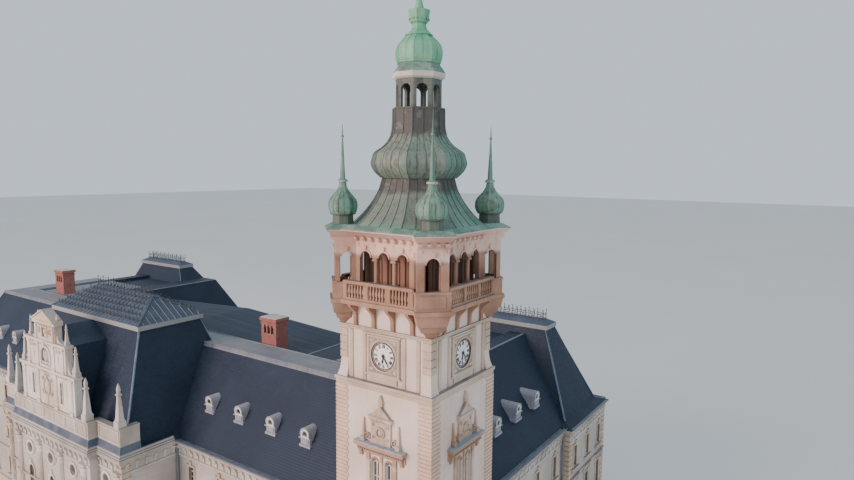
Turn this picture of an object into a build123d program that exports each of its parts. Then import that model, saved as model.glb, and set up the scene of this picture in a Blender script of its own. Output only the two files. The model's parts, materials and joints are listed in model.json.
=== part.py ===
from build123d import *
import os
from dataclasses import dataclass
from math import atan2, cos, degrees, hypot, pi, sin, sqrt, tan

os.makedirs("parts", exist_ok=True)

# A town hall of about 1897 at half its real size, in millimetres.
# The clock tower stands on the origin, the front faces -Y and the right side +X.

# Plan of the main building
AXIS_X = -16770            # centre line of the gabled front pavilion
RIGHT_WALL_X = 1810        # outer face of the right side wall
FRONT_WALL_Y = -1790       # outer face of the wings' front wall
COURT_WALL_Y = 7750        # outer face of the wall towards the rear court
COURT_HALF_WIDTH = 8270    # from the centre line to the court's side walls
WALL = 300                 # thickness of the masonry walls
JOINT = 2                  # open joint between masonry lengths that meet at a corner

# Front pavilion with the stepped gable
PAVILION_HALF = 5090       # from the centre line to the pavilion's side wall
PAVILION_END_Y = -4370     # outer face at the pavilion's two ends
PAVILION_CENTRE_HALF = 3350
PAVILION_STEP = 390        # how far the middle part stands forward

# Rear pavilions
REAR_OUT = 335             # how far they stand out beyond the side walls
REAR_NEAR_Y = 9280
REAR_FAR_Y = 14040
LEFT_REAR_NEAR_Y = 7850

# Levels of the main building
PLINTH_TOP = 450
FLOOR_THICKNESS = 160
HALL_MIDDLE = 5000         # floor level that the front pavilion's tall hall has not
UPPER_FLOORS = (2650, HALL_MIDDLE, 7100)   # upper side of each floor above the ground floor
WALL_TOP = 7100
EAVES_Z = 7430
EAVES_OVERHANG = 180
STRING_COURSES = (2450, 4850)
STRING_COURSE_HEIGHT = 130

# Windows and doors, as (sill, head, width, arched)
GROUND_ROW = (850, 2150, 620, True)
FIRST_ROW = (3150, 4550, 620, False)
SECOND_ROW = (5350, 6500, 560, False)
HALL_ROW = (3150, 5550, 640, True)
DOOR = (160, 2000, 1000, True)
OCULUS_Z = 6300
OCULUS_R = 250
PANE = 30
PANE_LAP = 60              # how far a sheet of glass reaches past its openings

# Entrance in the middle of the front pavilion
DOOR_LEAF = 70
LEAF_GAP = 6
PORTAL_COLUMN_R = 95
PORTAL_COLUMN_X = 700
PORTAL_OUT = 420
PORTAL_TOP_Z = 2380

# Roofs of the front range and the arms
SKIN = 150                 # thickness of the roof boards and rafters
FOOT_INSET = 74            # from a wall's outer face back to the slope's foot
TOP_Z = 11115              # flat zinc strips along the top of the slopes
TOP_FRONT_Y = 565
STRIP_BACK_Y = 1911
DECK_VERGE_Y = 6552
ARM_TOP_X = (-7312, -1112)
ARM_DECK_X = (-5772, -1911)
LEFT_TOP_X = -33735
DECK_LOW_Z = 10550         # low edges of the slate deck, which rises to the strips' level
ARM_DECK_DROP = 200

# Mansard roof of the front pavilion
MANSARD_FOOT_Z = 7605
MANSARD_KICK = 95          # how far the kick at the foot runs out over the cornice
PAVILION_FOOT_HALF = 4895
PAVILION_FOOT_Y = (-4095, 2145)
PAVILION_TOP_HALF = 3695
PAVILION_TOP_Y = (-2516, 566)
PAVILION_TOP_Z = 12345
PAVILION_RIDGE_HALF = 2390
PAVILION_RIDGE_Z = 13400
CAP_FASCIA = 210
CAP_OVERHANG = 110
REAR_CAP_RISE = 300        # top of a rear cap's low hip over the mansard's flat top
REAR_RIDGE_INSET = 260

# Parapet, gable and obelisks of the front pavilion
APRON_TOP_Z = 7980
PARAPET_TOP_Z = 8750
PARAPET_THICKNESS = 220
PARAPET_BACK_Y = -3500
COPING = 60
GABLE_DEPTH = 330
GABLE_TIERS = ((8750, 10452, 2360), (10452, 11720, 1720), (11720, 12579, 880))
GABLE_LEDGE = 120
GABLE_LEDGE_OUT = 115
GABLE_APEX_Z = 13125
SADDLE_HALF = 1500
SADDLE_EAVES_Z = 11600
SADDLE_RIDGE_Z = 12230
END_OBELISK_X = 4890
INNER_OBELISK_X = 3090
OBELISK = ((0, 175), (260, 175), (300, 140), (420, 118), (1330, 58), (1350, 92), (1410, 92), (1450, 50),
           (1600, 62), (1700, 45), (1850, 8))
HALF_COLUMN_R = 130
HALF_COLUMN_X = (975, 2925, 4850)
HALF_COLUMN_Z = (2750, 6900)

# Dormers, chimneys and crestings
DORMER_WIDTH = 480
DORMER_SILL_Z = 8680
DORMER_CROWN_Z = 9420
DORMER_RECESS = 90
FRONT_DORMERS = (4, -10413, 1950)   # how many, the first one's place and their spacing
LEFT_DORMERS = (5, -31000, 1950)
SIDE_DORMERS = (3, 4329, 1843)
CHIMNEY_SIZE = (1000, 720)
CHIMNEY_CAP = (150, 60)    # height and overhang
CHIMNEYS = ((-10043, 2480, 12345), (-29796, 2480, 12637))
CREST_HEIGHT = 330
CREST_BAR = 20
CREST_PITCH = 480

# Tower plan and levels
SHAFT_HALF = 1970
CLOCK_HALF = 1850
TOWER_WALL = 320
STRING_Z = 12345           # top of the string cornice under the clock storey
STRING_HEIGHT = 260
STRING_OUT = 60
CLOCK_MOULDING_Z = 14140
CORNER_FLARE = ((12345, 110), (12400, 95), (12520, 55), (12700, 25), (12950, 4))
CLOCK_Z = 13300
GALLERY_FLOOR = (14955, 15095)
RAIL_Z = 15715             # top of the balustrade
BAY_PARAPET_Z = 15660
SPRING_Z = 16515           # springing of the gallery arches
ARCADE_TOP_Z = 17160
TOWER_EAVES_Z = 17435
TOWER_LIGHT = (7950, 9828, 350, True)
TOWER_LIGHT_X = 290

# Gallery plan, as (distance of the main faces, distance of the corner bays, half a bay's width)
ARCADE = (1872, 2830, 500)
ARCADE_THICKNESS = 170
BALUSTRADE = (2215, 2905, 545)
RAIL_THICKNESS = 130
GALLERY_EDGE = (2290, 2990, 580)
EAVES_MOULD = (2080, 2960, 570)
EAVES_EDGE = (2345, 3130, 640)
SKIRT_TOP = (2140, 2900, 530)
SKIRT_RISE = 125
MAIN_ARCH = 516
MAIN_ARCH_PITCH = 752
BAY_ARCH = 530
SIDE_ARCH = 400
BALUSTERS = 6              # in each of the three panels of a side
PEDESTAL = 170
BRACKET_X = (-1170, -390, 390, 1170)
BRACKET_WIDTH = 130

# Tower roof, as (height, half width across flats) of each eight-sided ring
ROOF_RINGS = ((17560, 2110), (17720, 1930), (17900, 1760), (18130, 1580), (18400, 1410),
              (18700, 1265), (19085, 1160))
BULB_RINGS = ((19085, 1215), (19190, 1330), (19345, 1460), (19560, 1545), (19760, 1500),
              (19930, 1440), (20110, 1200), (20290, 1020), (20520, 890), (20800, 835), (21350, 825))
LANTERN_FLOOR = ((21350, 845), (21410, 845))
CAP_RINGS = ((22330, 750), (22390, 830), (22540, 845), (22640, 790), (22810, 670), (22880, 665))
DOME_RINGS = ((22880, 665), (22990, 715), (23120, 735), (23280, 735), (23440, 690), (23590, 590),
              (23720, 450), (23790, 408))
NECK_RINGS = ((23790, 408), (23880, 350), (23990, 250), (24150, 215))
COPPER = 70                # thickness of the boarded copper roofs
LANTERN_HALF = 730
LANTERN_WALL = 110
LANTERN_ARCH = 380
LANTERN_SPRING_Z = 21980
FINIAL_RINGS = ((24150, 215), (24220, 300), (24300, 300), (24420, 320), (24600, 345), (24660, 150),
                (24900, 95), (25050, 130), (25150, 60), (25600, 16))

# Corner turrets of the tower
TURRET_OFFSET = 1800
TURRET_RINGS = ((17560, 350), (17760, 335), (17880, 335), (17905, 400), (18000, 445), (18150, 468),
                (18330, 440), (18480, 335), (18620, 215), (18760, 140), (18960, 110))
SPIRE_RINGS = ((18965, 150), (19020, 150), (19060, 85), (20400, 22), (20440, 60), (20500, 22),
               (20860, 8))

# Clocks
DIAL_R = 490
DIAL_THICKNESS = 30
PANEL_HALF = 660
PANEL_THICKNESS = 42
HAND_THICKNESS = 14
HAND_GAP = 8
ARBOR_R = 22
PIPE_R = 38
HUB_R = 50
RUNNING_FIT = 0.08
MINUTE_OUTLINE = ((-9, -95), (9, -95), (16, 0), (20, 250), (0, 400), (-20, 250), (-16, 0))
HOUR_OUTLINE = ((-14, -70), (14, -70), (18, 0), (16, 120), (40, 190), (0, 270), (-40, 190), (-16, 120),
                (-18, 0))
SHOWN_HOUR = 6
SHOWN_MINUTE = 24

FACES = {"front": 0, "right": 90, "back": 180, "left": 270}
HIGH = 20000               # a level above every roof slope, for cutting tools


# Shapes that the pieces are made from

def block(x0, x1, y0, y1, z0, z1):
    """A box given by its two corners."""
    x0, x1 = sorted((x0, x1))
    y0, y1 = sorted((y0, y1))
    return Pos((x0 + x1) / 2, (y0 + y1) / 2, (z0 + z1) / 2) * Box(x1 - x0, y1 - y0, z1 - z0)


def rings(outlines):
    """A straight-sided body through closed outlines of three-dimensional points."""
    return loft([make_face(Polyline(*points, close=True)) for points in outlines], ruled=True)


def along_x(profile, x0, x1):
    """A profile of (y, z) points run along X."""
    return rings([[(x, y, z) for y, z in profile] for x in (x0, x1)])


def along_y(profile, y0, y1):
    """A profile of (x, z) points run along Y."""
    return rings([[(x, y, z) for x, z in profile] for y in (y0, y1)])


def upright(outline, z0, z1):
    """A plan outline of (x, y) points run from one level to another."""
    return rings([[(x, y, z) for x, y in outline] for z in (z0, z1)])


def rectangle(x0, x1, y0, y1, z):
    return [(x0, y0, z), (x1, y0, z), (x1, y1, z), (x0, y1, z)]


def square_body(levels, x, y):
    """A four-sided body through (height, half width) levels around an upright axis."""
    return rings([rectangle(x - half, x + half, y - half, y + half, z) for z, half in levels])


def octagon(half, z, centre=(0, 0)):
    """A regular eight-sided outline with flats towards the four sides."""
    corner = half / cos(pi / 8)
    turns = [pi / 8 + i * pi / 4 for i in range(8)]
    return [(centre[0] + corner * cos(a), centre[1] + corner * sin(a), z) for a in turns]


def octagon_body(levels, centre=(0, 0)):
    return rings([octagon(half, z, centre) for z, half in levels])


def octagon_shell(levels, skin):
    """An eight-sided roof body with its inside left hollow."""
    return octagon_body(levels) - octagon_body([(z, half - skin) for z, half in levels])


def gallery_plan(face, bay, half_width):
    """The gallery's sixteen corners: four sides with a diagonal bay at each corner."""
    near, far = (bay - half_width) / sqrt(2), (bay + half_width) / sqrt(2)
    turn = face - half_width * sqrt(2)
    side = [(-turn, -face), (turn, -face), (near, -far), (far, -near)]
    points = []
    for quarter in range(4):
        c, s = round(cos(quarter * pi / 2)), round(sin(quarter * pi / 2))
        points += [(x * c - y * s, x * s + y * c) for x, y in side]
    return points


def gallery_ring(plan, z):
    return [(x, y, z) for x, y in gallery_plan(*plan)]


def turn_factor(before, corner, after):
    """The mitre at a corner of a walk: the shift along the wall per unit stood out from it."""
    first = atan2(corner[1] - before[1], corner[0] - before[0])
    second = atan2(after[1] - corner[1], after[0] - corner[0])
    turn = (second - first + pi) % (2 * pi) - pi
    return tan(turn / 2)


def length_of(start, end):
    return hypot(end[0] - start[0], end[1] - start[1])


def run(start, end, turns, profile, gap=JOINT / 2):
    """A straight length of a profile of (stand out, z) points, mitred at both ends.

    The outside lies on the right of the walk from start to end.
    """
    length = length_of(start, end)
    u = ((end[0] - start[0]) / length, (end[1] - start[1]) / length)

    def section(origin, shift):
        points = []
        for out, z in profile:
            x = origin[0] + u[0] * shift(out) + u[1] * out
            y = origin[1] + u[1] * shift(out) - u[0] * out
            points.append((x, y, z))
        return points

    first = section(start, lambda out: gap - turns[0] * out)
    last = section(end, lambda out: turns[1] * out - gap)
    return rings([first, last])


def corner_turns(corners, closed=False):
    """The mitre factors at both ends of every length of a walk."""
    count = len(corners)
    turns = []
    for i in range(count):
        if closed or 0 < i < count - 1:
            turns.append(turn_factor(corners[i - 1], corners[i], corners[(i + 1) % count]))
        else:
            turns.append(0)
    lengths = count if closed else count - 1
    return [(turns[i], turns[(i + 1) % count]) for i in range(lengths)]


def walk(corners, profile, closed=False, gap=JOINT / 2):
    """One mitred length of a profile for every side of a plan outline."""
    turns = corner_turns(corners, closed)
    ends = [(corners[i], corners[(i + 1) % len(corners)]) for i in range(len(turns))]
    return [run(a, b, pair, profile, gap) for (a, b), pair in zip(ends, turns)]


def facing(start, end, distance):
    """The location on a wall at a distance from its start, with its -Y looking outwards."""
    length = length_of(start, end)
    u = ((end[0] - start[0]) / length, (end[1] - start[1]) / length)
    angle = degrees(atan2(u[1], u[0]))
    return Pos(start[0] + u[0] * distance, start[1] + u[1] * distance, 0) * Rot(0, 0, angle)


def rod(radius, y0, y1, x=0, z=0):
    """A cylinder along Y."""
    return Pos(x, (y0 + y1) / 2, z) * Rot(90, 0, 0) * Cylinder(radius, abs(y1 - y0))


def arched_block(width, z0, crown, y0, y1, x=0):
    """An upright block with a round head, seen from -Y."""
    spring = crown - width / 2
    return block(x - width / 2, x + width / 2, y0, y1, z0, spring) + rod(width / 2, y0, y1, x, spring)


def opening(row, y0, y1, x=0):
    """The space of one window or door of a row, between two depths of its wall."""
    sill, head, width, arched = row
    if arched:
        return arched_block(width, sill, head, y0, y1, x)
    return block(x - width / 2, x + width / 2, y0, y1, sill, head)


def evenly(count, length):
    """Distances of window centres along a wall, one in the middle of each bay."""
    return [(i + 0.5) * length / count for i in range(count)]


def centred(count, pitch, middle=0):
    return [middle + (i - (count - 1) / 2) * pitch for i in range(count)]


def other_side(x):
    return 2 * AXIS_X - x


def mirrored(shape):
    """The same piece on the other side of the building's centre line."""
    return Pos(2 * AXIS_X, 0, 0) * mirror(shape, Plane.YZ)


def on_all_faces(shapes):
    """Pieces of the tower's front repeated on its four sides."""
    return [Rot(0, 0, angle) * shape for angle in FACES.values() for shape in shapes]


def save(name, *shapes):
    """Write one sub-part, as one solid or as several that stand apart."""
    solids = [solid for shape in shapes for solid in shape.solids()]
    body = solids[0] if len(solids) == 1 else Compound(solids)
    export_step(body, f"parts/{name}.step")


# Plan outline, walked with the outside on the right, from the tower's back to its left face

COURT_RIGHT_X = AXIS_X + COURT_HALF_WIDTH
COURT_LEFT_X = AXIS_X - COURT_HALF_WIDTH
REAR_RIGHT_X = RIGHT_WALL_X + REAR_OUT
REAR_LEFT_X = other_side(REAR_RIGHT_X)
LEFT_WALL_X = other_side(RIGHT_WALL_X)
PAVILION_LEFT_X = AXIS_X - PAVILION_HALF
PAVILION_RIGHT_X = AXIS_X + PAVILION_HALF
PAVILION_CENTRE_Y = PAVILION_END_Y - PAVILION_STEP

PLAN = [
    (RIGHT_WALL_X, SHAFT_HALF),
    (RIGHT_WALL_X, REAR_NEAR_Y),
    (REAR_RIGHT_X, REAR_NEAR_Y),
    (REAR_RIGHT_X, REAR_FAR_Y),
    (COURT_RIGHT_X, REAR_FAR_Y),
    (COURT_RIGHT_X, COURT_WALL_Y),
    (COURT_LEFT_X, COURT_WALL_Y),
    (COURT_LEFT_X, REAR_FAR_Y),
    (REAR_LEFT_X, REAR_FAR_Y),
    (REAR_LEFT_X, LEFT_REAR_NEAR_Y),
    (LEFT_WALL_X, LEFT_REAR_NEAR_Y),
    (LEFT_WALL_X, FRONT_WALL_Y),
    (PAVILION_LEFT_X, FRONT_WALL_Y),
    (PAVILION_LEFT_X, PAVILION_END_Y),
    (AXIS_X - PAVILION_CENTRE_HALF, PAVILION_END_Y),
    (AXIS_X - PAVILION_CENTRE_HALF, PAVILION_CENTRE_Y),
    (AXIS_X + PAVILION_CENTRE_HALF, PAVILION_CENTRE_Y),
    (AXIS_X + PAVILION_CENTRE_HALF, PAVILION_END_Y),
    (PAVILION_RIGHT_X, PAVILION_END_Y),
    (PAVILION_RIGHT_X, FRONT_WALL_Y),
    (-SHAFT_HALF, FRONT_WALL_Y),
]
SIDES = range(len(PLAN) - 1)
# Number of window bays on each side of the outline that has plain rows
PLAIN_BAYS = {0: 4, 2: 3, 3: 5, 4: 3, 5: 8, 6: 3, 7: 5, 8: 3, 10: 5, 11: 7, 19: 5}
PLAIN_ROWS = (GROUND_ROW, FIRST_ROW, SECOND_ROW)
PAVILION_SIDES = (13, 14, 15, 16, 17)
TURNS = corner_turns(PLAN)


def side_points(index):
    return PLAN[index], PLAN[index + 1]


def plan_run(index, profile, gap=JOINT / 2):
    """A profile along one side of the building's outline."""
    start, end = side_points(index)
    return run(start, end, TURNS[index], profile, gap)


def wall_profile(z0, z1, thickness=WALL):
    return [(0, z0), (0, z1), (-thickness, z1), (-thickness, z0)]


def plain_wall(index):
    """One side of the outline as a wall, with its rows of windows cut through."""
    start, end = side_points(index)
    wall = plan_run(index, wall_profile(0, WALL_TOP))
    if index not in PLAIN_BAYS:
        return wall
    cuts = []
    for distance in evenly(PLAIN_BAYS[index], length_of(start, end)):
        place = facing(start, end, distance)
        cuts += [place * opening(row, -10, WALL + 10) for row in PLAIN_ROWS]
    return wall - cuts


# Walls

PAVILION_WINDOWS = [AXIS_X + x for x in centred(5, 2 * HALF_COLUMN_X[0])]


def pavilion_front():
    """The front in one piece: tall hall windows under round ones, and the entrance below."""
    parts = [plan_run(i, wall_profile(0, WALL_TOP), 0) for i in PAVILION_SIDES]
    wall = parts[0] + parts[1:]
    y0, y1 = PAVILION_CENTRE_Y - 10, PAVILION_END_Y + WALL + 10
    cuts = []
    for x in PAVILION_WINDOWS:
        ground = DOOR if x == AXIS_X else GROUND_ROW
        cuts += [opening(ground, y0, y1, x), opening(HALL_ROW, y0, y1, x)]
        cuts.append(rod(OCULUS_R, y0, y1, x, OCULUS_Z))
    return wall - cuts


save("wing_walls", *[plain_wall(i) for i in (0, 5, 10, 11, 19)])
save("pavilion_walls", plain_wall(12), pavilion_front(), plain_wall(18))
save("rear_pavilion_walls", *[plain_wall(i) for i in (1, 2, 3, 4, 6, 7, 8, 9)])

# Half columns of the front pavilion


def half_columns():
    """Round half columns between the hall windows, with a base and a capital."""
    z0, z1 = HALF_COLUMN_Z
    pieces = []
    for x in HALF_COLUMN_X:
        y = PAVILION_CENTRE_Y if x < PAVILION_CENTRE_HALF else PAVILION_END_Y
        r = HALF_COLUMN_R
        shaft = Pos(x, y, (z0 + z1) / 2) * Cylinder(r, z1 - z0 - 400)
        base = block(x - r - 40, x + r + 40, y - r - 40, y + 200, z0, z0 + 200)
        capital = rings([rectangle(x - r, x + r, y - r, y + 200, z1 - 200),
                         rectangle(x - r - 60, x + r + 60, y - r - 60, y + 200, z1)])
        column = (shaft + [base, capital]) - block(x - 400, x + 400, y, y + 400, z0 - 10, z1 + 10)
        pieces += [Pos(AXIS_X, 0, 0) * column, Pos(AXIS_X, 0, 0) * mirror(column, Plane.YZ)]
    return pieces


columns = half_columns()
save("pavilion_half_columns", *columns)

# Plinth, string courses and main cornice

PLINTH = [(0, 0), (70, 0), (70, PLINTH_TOP - 60), (20, PLINTH_TOP), (0, PLINTH_TOP)]
MAIN_CORNICE = [(-WALL, WALL_TOP), (40, WALL_TOP), (40, 7180), (90, 7230), (110, 7300),
                (EAVES_OVERHANG, 7350), (EAVES_OVERHANG, EAVES_Z), (-WALL, EAVES_Z)]


def plinth():
    """The plinth, left out in front of the entrance steps."""
    lengths = [plan_run(i, PLINTH) for i in SIDES]
    half = PORTAL_COLUMN_X + 2 * PORTAL_COLUMN_R
    gate = block(AXIS_X - half, AXIS_X + half, PAVILION_CENTRE_Y - 200, PAVILION_CENTRE_Y + 10,
                 -10, PLINTH_TOP + 10)
    return [length - gate for length in lengths]


def string_course(z):
    half = STRING_COURSE_HEIGHT / 2
    profile = [(0, z - half), (30, z - half), (70, z), (70, z + half - 20), (40, z + half), (0, z + half)]
    lengths = [plan_run(i, profile) for i in SIDES]
    return [length - columns if i in PAVILION_SIDES else length for i, length in enumerate(lengths)]


save("plinth", *plinth())
save("string_courses", *[piece for z in STRING_COURSES for piece in string_course(z)])
save("main_cornice", *[plan_run(i, MAIN_CORNICE) for i in SIDES])

# Floors, each cut into the ranges' rectangles

TOWER_INSIDE = SHAFT_HALF - TOWER_WALL


def storey_floor(top):
    """The floors of one storey: front range, pavilion, the two arms and the tower."""
    z0, z1 = top - FLOOR_THICKNESS, top
    near, far = FRONT_WALL_Y + WALL, COURT_WALL_Y - WALL
    front = block(LEFT_WALL_X + WALL, RIGHT_WALL_X - WALL, near, far, z0, z1)
    front -= block(-SHAFT_HALF, SHAFT_HALF, -SHAFT_HALF, SHAFT_HALF, z0 - 10, z1 + 10)
    pavilion = block(PAVILION_LEFT_X + WALL, PAVILION_RIGHT_X - WALL, PAVILION_END_Y + WALL,
                     near - JOINT, z0, z1)
    pavilion += block(AXIS_X - PAVILION_CENTRE_HALF + WALL, AXIS_X + PAVILION_CENTRE_HALF - WALL,
                      PAVILION_CENTRE_Y + WALL, PAVILION_END_Y + WALL, z0, z1)
    right = block(COURT_RIGHT_X + WALL, RIGHT_WALL_X - WALL, far + JOINT, REAR_FAR_Y - WALL, z0, z1)
    left = block(LEFT_WALL_X + WALL, COURT_LEFT_X - WALL, far + JOINT, REAR_FAR_Y - WALL, z0, z1)
    tower = block(-TOWER_INSIDE, TOWER_INSIDE, -TOWER_INSIDE, TOWER_INSIDE, z0, z1)
    return (front, right, left, tower) if top == HALL_MIDDLE else (front, pavilion, right, left, tower)


CLOCK_INSIDE = CLOCK_HALF - TOWER_WALL
clock_floor = block(-CLOCK_INSIDE, CLOCK_INSIDE, -CLOCK_INSIDE, CLOCK_INSIDE,
                    STRING_Z, STRING_Z + FLOOR_THICKNESS)
save("ground_floor", *storey_floor(FLOOR_THICKNESS))
save("upper_floors", *[piece for top in UPPER_FLOORS for piece in storey_floor(top)], clock_floor)

# Glass: one sheet behind each wall's windows in each storey

OCULUS_ROW = (OCULUS_Z - OCULUS_R, OCULUS_Z + OCULUS_R, 2 * OCULUS_R, False)


def storey_sheet(index, row):
    """A sheet behind one side's windows, from the first to the last of them."""
    start, end = side_points(index)
    length = length_of(start, end)
    margin = length / PLAIN_BAYS[index] / 2 - row[2] / 2 - PANE_LAP
    sheet = block(margin, length - margin, WALL, WALL + PANE, row[0] - PANE_LAP, row[1] + PANE_LAP)
    return facing(start, end, 0) * sheet


def single_sheet(row, x, y):
    half = row[2] / 2 + PANE_LAP
    return block(x - half, x + half, y, y + PANE, row[0] - PANE_LAP, row[1] + PANE_LAP)


def pavilion_glass():
    """The front pavilion's panes, further forward in its middle part."""
    panes = []
    for x in PAVILION_WINDOWS:
        middle = abs(x - AXIS_X) < PAVILION_CENTRE_HALF
        y = (PAVILION_CENTRE_Y if middle else PAVILION_END_Y) + WALL
        rows = (HALL_ROW, OCULUS_ROW) if x == AXIS_X else (GROUND_ROW, HALL_ROW, OCULUS_ROW)
        panes += [single_sheet(row, x, y) for row in rows]
    return panes


def tower_glass():
    """The panes of the tower's front, repeated on its right side."""
    y = -SHAFT_HALF + TOWER_WALL
    panes = [single_sheet(row, 0, y) for row in PLAIN_ROWS]
    half = TOWER_LIGHT_X + TOWER_LIGHT[2] / 2 + PANE_LAP
    panes.append(block(-half, half, y, y + PANE, TOWER_LIGHT[0] - PANE_LAP, TOWER_LIGHT[1] + PANE_LAP))
    return panes + [Rot(0, 0, 90) * pane for pane in panes]


storey_glass = [storey_sheet(i, row) for i in PLAIN_BAYS for row in PLAIN_ROWS]
save("window_glass", *storey_glass, *pavilion_glass(), *tower_glass())

# Entrance


def entrance_portal():
    """Two steps, two columns and the entablature that they carry."""
    y1 = PAVILION_CENTRE_Y
    half = PORTAL_COLUMN_X + 2 * PORTAL_COLUMN_R
    steps = block(AXIS_X - half, AXIS_X + half, y1 - PORTAL_OUT - 160, y1, 0, DOOR[0] / 2)
    steps += block(AXIS_X - half, AXIS_X + half, y1 - PORTAL_OUT, y1, DOOR[0] / 2, DOOR[0])
    column_y = y1 - PORTAL_OUT + 2 * PORTAL_COLUMN_R - 40
    pieces = []
    for x in (AXIS_X - PORTAL_COLUMN_X, AXIS_X + PORTAL_COLUMN_X):
        low, high = DOOR[0], PORTAL_TOP_Z - 320
        pieces.append(square_body(((low, 150), (low + 350, 150)), x, column_y))
        shaft = Pos(x, column_y, (low + 350 + high - 90) / 2) * Cylinder(PORTAL_COLUMN_R, high - 440 - low)
        pieces.append(shaft)
        pieces.append(square_body(((high - 90, 100), (high, 150)), x, column_y))
    profile = [(y1, PORTAL_TOP_Z - 320), (y1 - PORTAL_OUT, PORTAL_TOP_Z - 320),
               (y1 - PORTAL_OUT, PORTAL_TOP_Z - 110), (y1 - PORTAL_OUT - 80, PORTAL_TOP_Z - 60),
               (y1 - PORTAL_OUT - 80, PORTAL_TOP_Z), (y1, PORTAL_TOP_Z)]
    pieces.append(along_x(profile, AXIS_X - half, AXIS_X + half))
    return steps + pieces


def entrance_doors():
    """Two leaves that fill the doorway, with a gap between them."""
    y0 = PAVILION_CENTRE_Y + WALL / 2
    slab = opening(DOOR, y0, y0 + DOOR_LEAF, AXIS_X)
    return slab - block(AXIS_X - LEAF_GAP / 2, AXIS_X + LEAF_GAP / 2, y0 - 10, y0 + DOOR_LEAF + 10, 0, HIGH)


save("entrance_portal", entrance_portal())
save("entrance_doors", entrance_doors())

# Roof bodies


def hip_body(foot, top, z0, z1):
    """A hipped roof from its foot rectangle to its flat top rectangle."""
    return rings([rectangle(*foot, z0), rectangle(*top, z1)])


def hip_inside(foot, top, z0, z1, below):
    """The space under a hipped roof's skin, carried down to a level below its foot."""
    rise = z1 - z0
    low, high = [], []
    for inward, a, b in zip((1, -1, 1, -1), foot, top):
        travel = abs(b - a)
        offset = SKIN * hypot(travel, rise) / rise
        low.append(a + inward * (offset + travel * (below - z0) / rise))
        high.append(a + inward * (offset + travel * (rise - SKIN) / rise))
    return rings([rectangle(*low, below), rectangle(*high, z1 - SKIN)])


def hip_sides(shell, foot, top, z1):
    """The four slopes of a hipped shell, parted at the hips, and the lid over them."""
    reach = 0.12
    x0, x1, y0, y1 = foot
    a0, a1, b0, b1 = top

    def corner(x, a, y, b, share):
        return x + (a - x) * share, y + (b - y) * share

    hips = [(x0, a0, y0, b0), (x1, a1, y0, b0), (x1, a1, y1, b1), (x0, a0, y1, b1)]
    sides = []
    for i in range(4):
        first, second = hips[i], hips[(i + 1) % 4]
        outline = [corner(*first, -1), corner(*second, -1), corner(*second, 1 + reach),
                   corner(*first, 1 + reach)]
        sides.append(shell & upright(outline, WALL_TOP, z1 - SKIN))
    lid = shell & block(x0, x1, y0, y1, z1 - SKIN, z1)
    return sides, lid


# Front range and arms

RANGE_FOOT = (LEFT_WALL_X + FOOT_INSET, RIGHT_WALL_X - FOOT_INSET, FRONT_WALL_Y + FOOT_INSET,
              COURT_WALL_Y - FOOT_INSET)
RANGE_TOP = (LEFT_TOP_X, ARM_TOP_X[1], TOP_FRONT_Y, DECK_VERGE_Y)
BELOW_EAVES = EAVES_Z - 10
DECK_X = (other_side(ARM_TOP_X[0]), ARM_TOP_X[0])


def deck_space(grow):
    """The space above the slate deck, with its bottom and sides moved out by an amount."""
    x0, x1 = DECK_X[0] - grow, DECK_X[1] + grow
    profile = [(x0, DECK_LOW_Z - grow), (AXIS_X, TOP_Z - grow), (x1, DECK_LOW_Z - grow), (x1, HIGH),
               (x0, HIGH)]
    return along_y(profile, STRIP_BACK_Y - grow, COURT_WALL_Y + 500)


def arm_space(grow):
    """The space above the sunk deck along the top of an arm."""
    return block(ARM_DECK_X[0] - grow, ARM_DECK_X[1] + grow, STRIP_BACK_Y + SKIN - grow, REAR_FAR_Y,
                 TOP_Z - ARM_DECK_DROP - grow, HIGH)


def arm_plan(end, inset, z):
    """An arm's outline at a level: its long slopes, and the pavilion roof's far slope at its end."""
    share = (z - EAVES_Z) / (TOP_Z - EAVES_Z)
    sides = []
    for inward, foot, top in zip((1, -1), (COURT_RIGHT_X + FOOT_INSET, RIGHT_WALL_X - FOOT_INSET), ARM_TOP_X):
        travel = top - foot
        offset = inset * hypot(travel, TOP_Z - EAVES_Z) / (TOP_Z - EAVES_Z)
        sides.append(foot + travel * share + inward * offset)
    far = end.far_edge(z) - inset * 1.1
    return rectangle(*sides, STRIP_BACK_Y - inset / 2, far, z)


def arm_body(end):
    return rings([arm_plan(end, 0, z) for z in (EAVES_Z, TOP_Z)]) - arm_space(0)


def arm_inside(end):
    return rings([arm_plan(end, SKIN, z) for z in (BELOW_EAVES, TOP_Z - SKIN)]) - arm_space(SKIN)


range_body = hip_body(RANGE_FOOT, RANGE_TOP, EAVES_Z, TOP_Z) - deck_space(0)
range_inside = hip_inside(RANGE_FOOT, RANGE_TOP, EAVES_Z, TOP_Z, BELOW_EAVES) - deck_space(SKIN)
tower_space = block(-SHAFT_HALF, SHAFT_HALF, -SHAFT_HALF, SHAFT_HALF, 0, TOP_Z + 100)

# Mansard roofs


@dataclass
class Mansard:
    """A steep pavilion roof: its foot and top rectangles, its top level and its kick's edge."""
    kick: tuple
    foot: tuple
    top: tuple
    top_z: float

    def body(self):
        kick = rings([rectangle(*self.kick, EAVES_Z), rectangle(*self.foot, MANSARD_FOOT_Z)])
        return kick + hip_body(self.foot, self.top, MANSARD_FOOT_Z, self.top_z)

    def inside(self):
        return hip_inside(self.foot, self.top, MANSARD_FOOT_Z, self.top_z, BELOW_EAVES)

    def far_edge(self, z):
        """Where the slope that looks to +Y lies at a level."""
        share = (z - MANSARD_FOOT_Z) / (self.top_z - MANSARD_FOOT_Z)
        return self.foot[3] + (self.top[3] - self.foot[3]) * share


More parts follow.
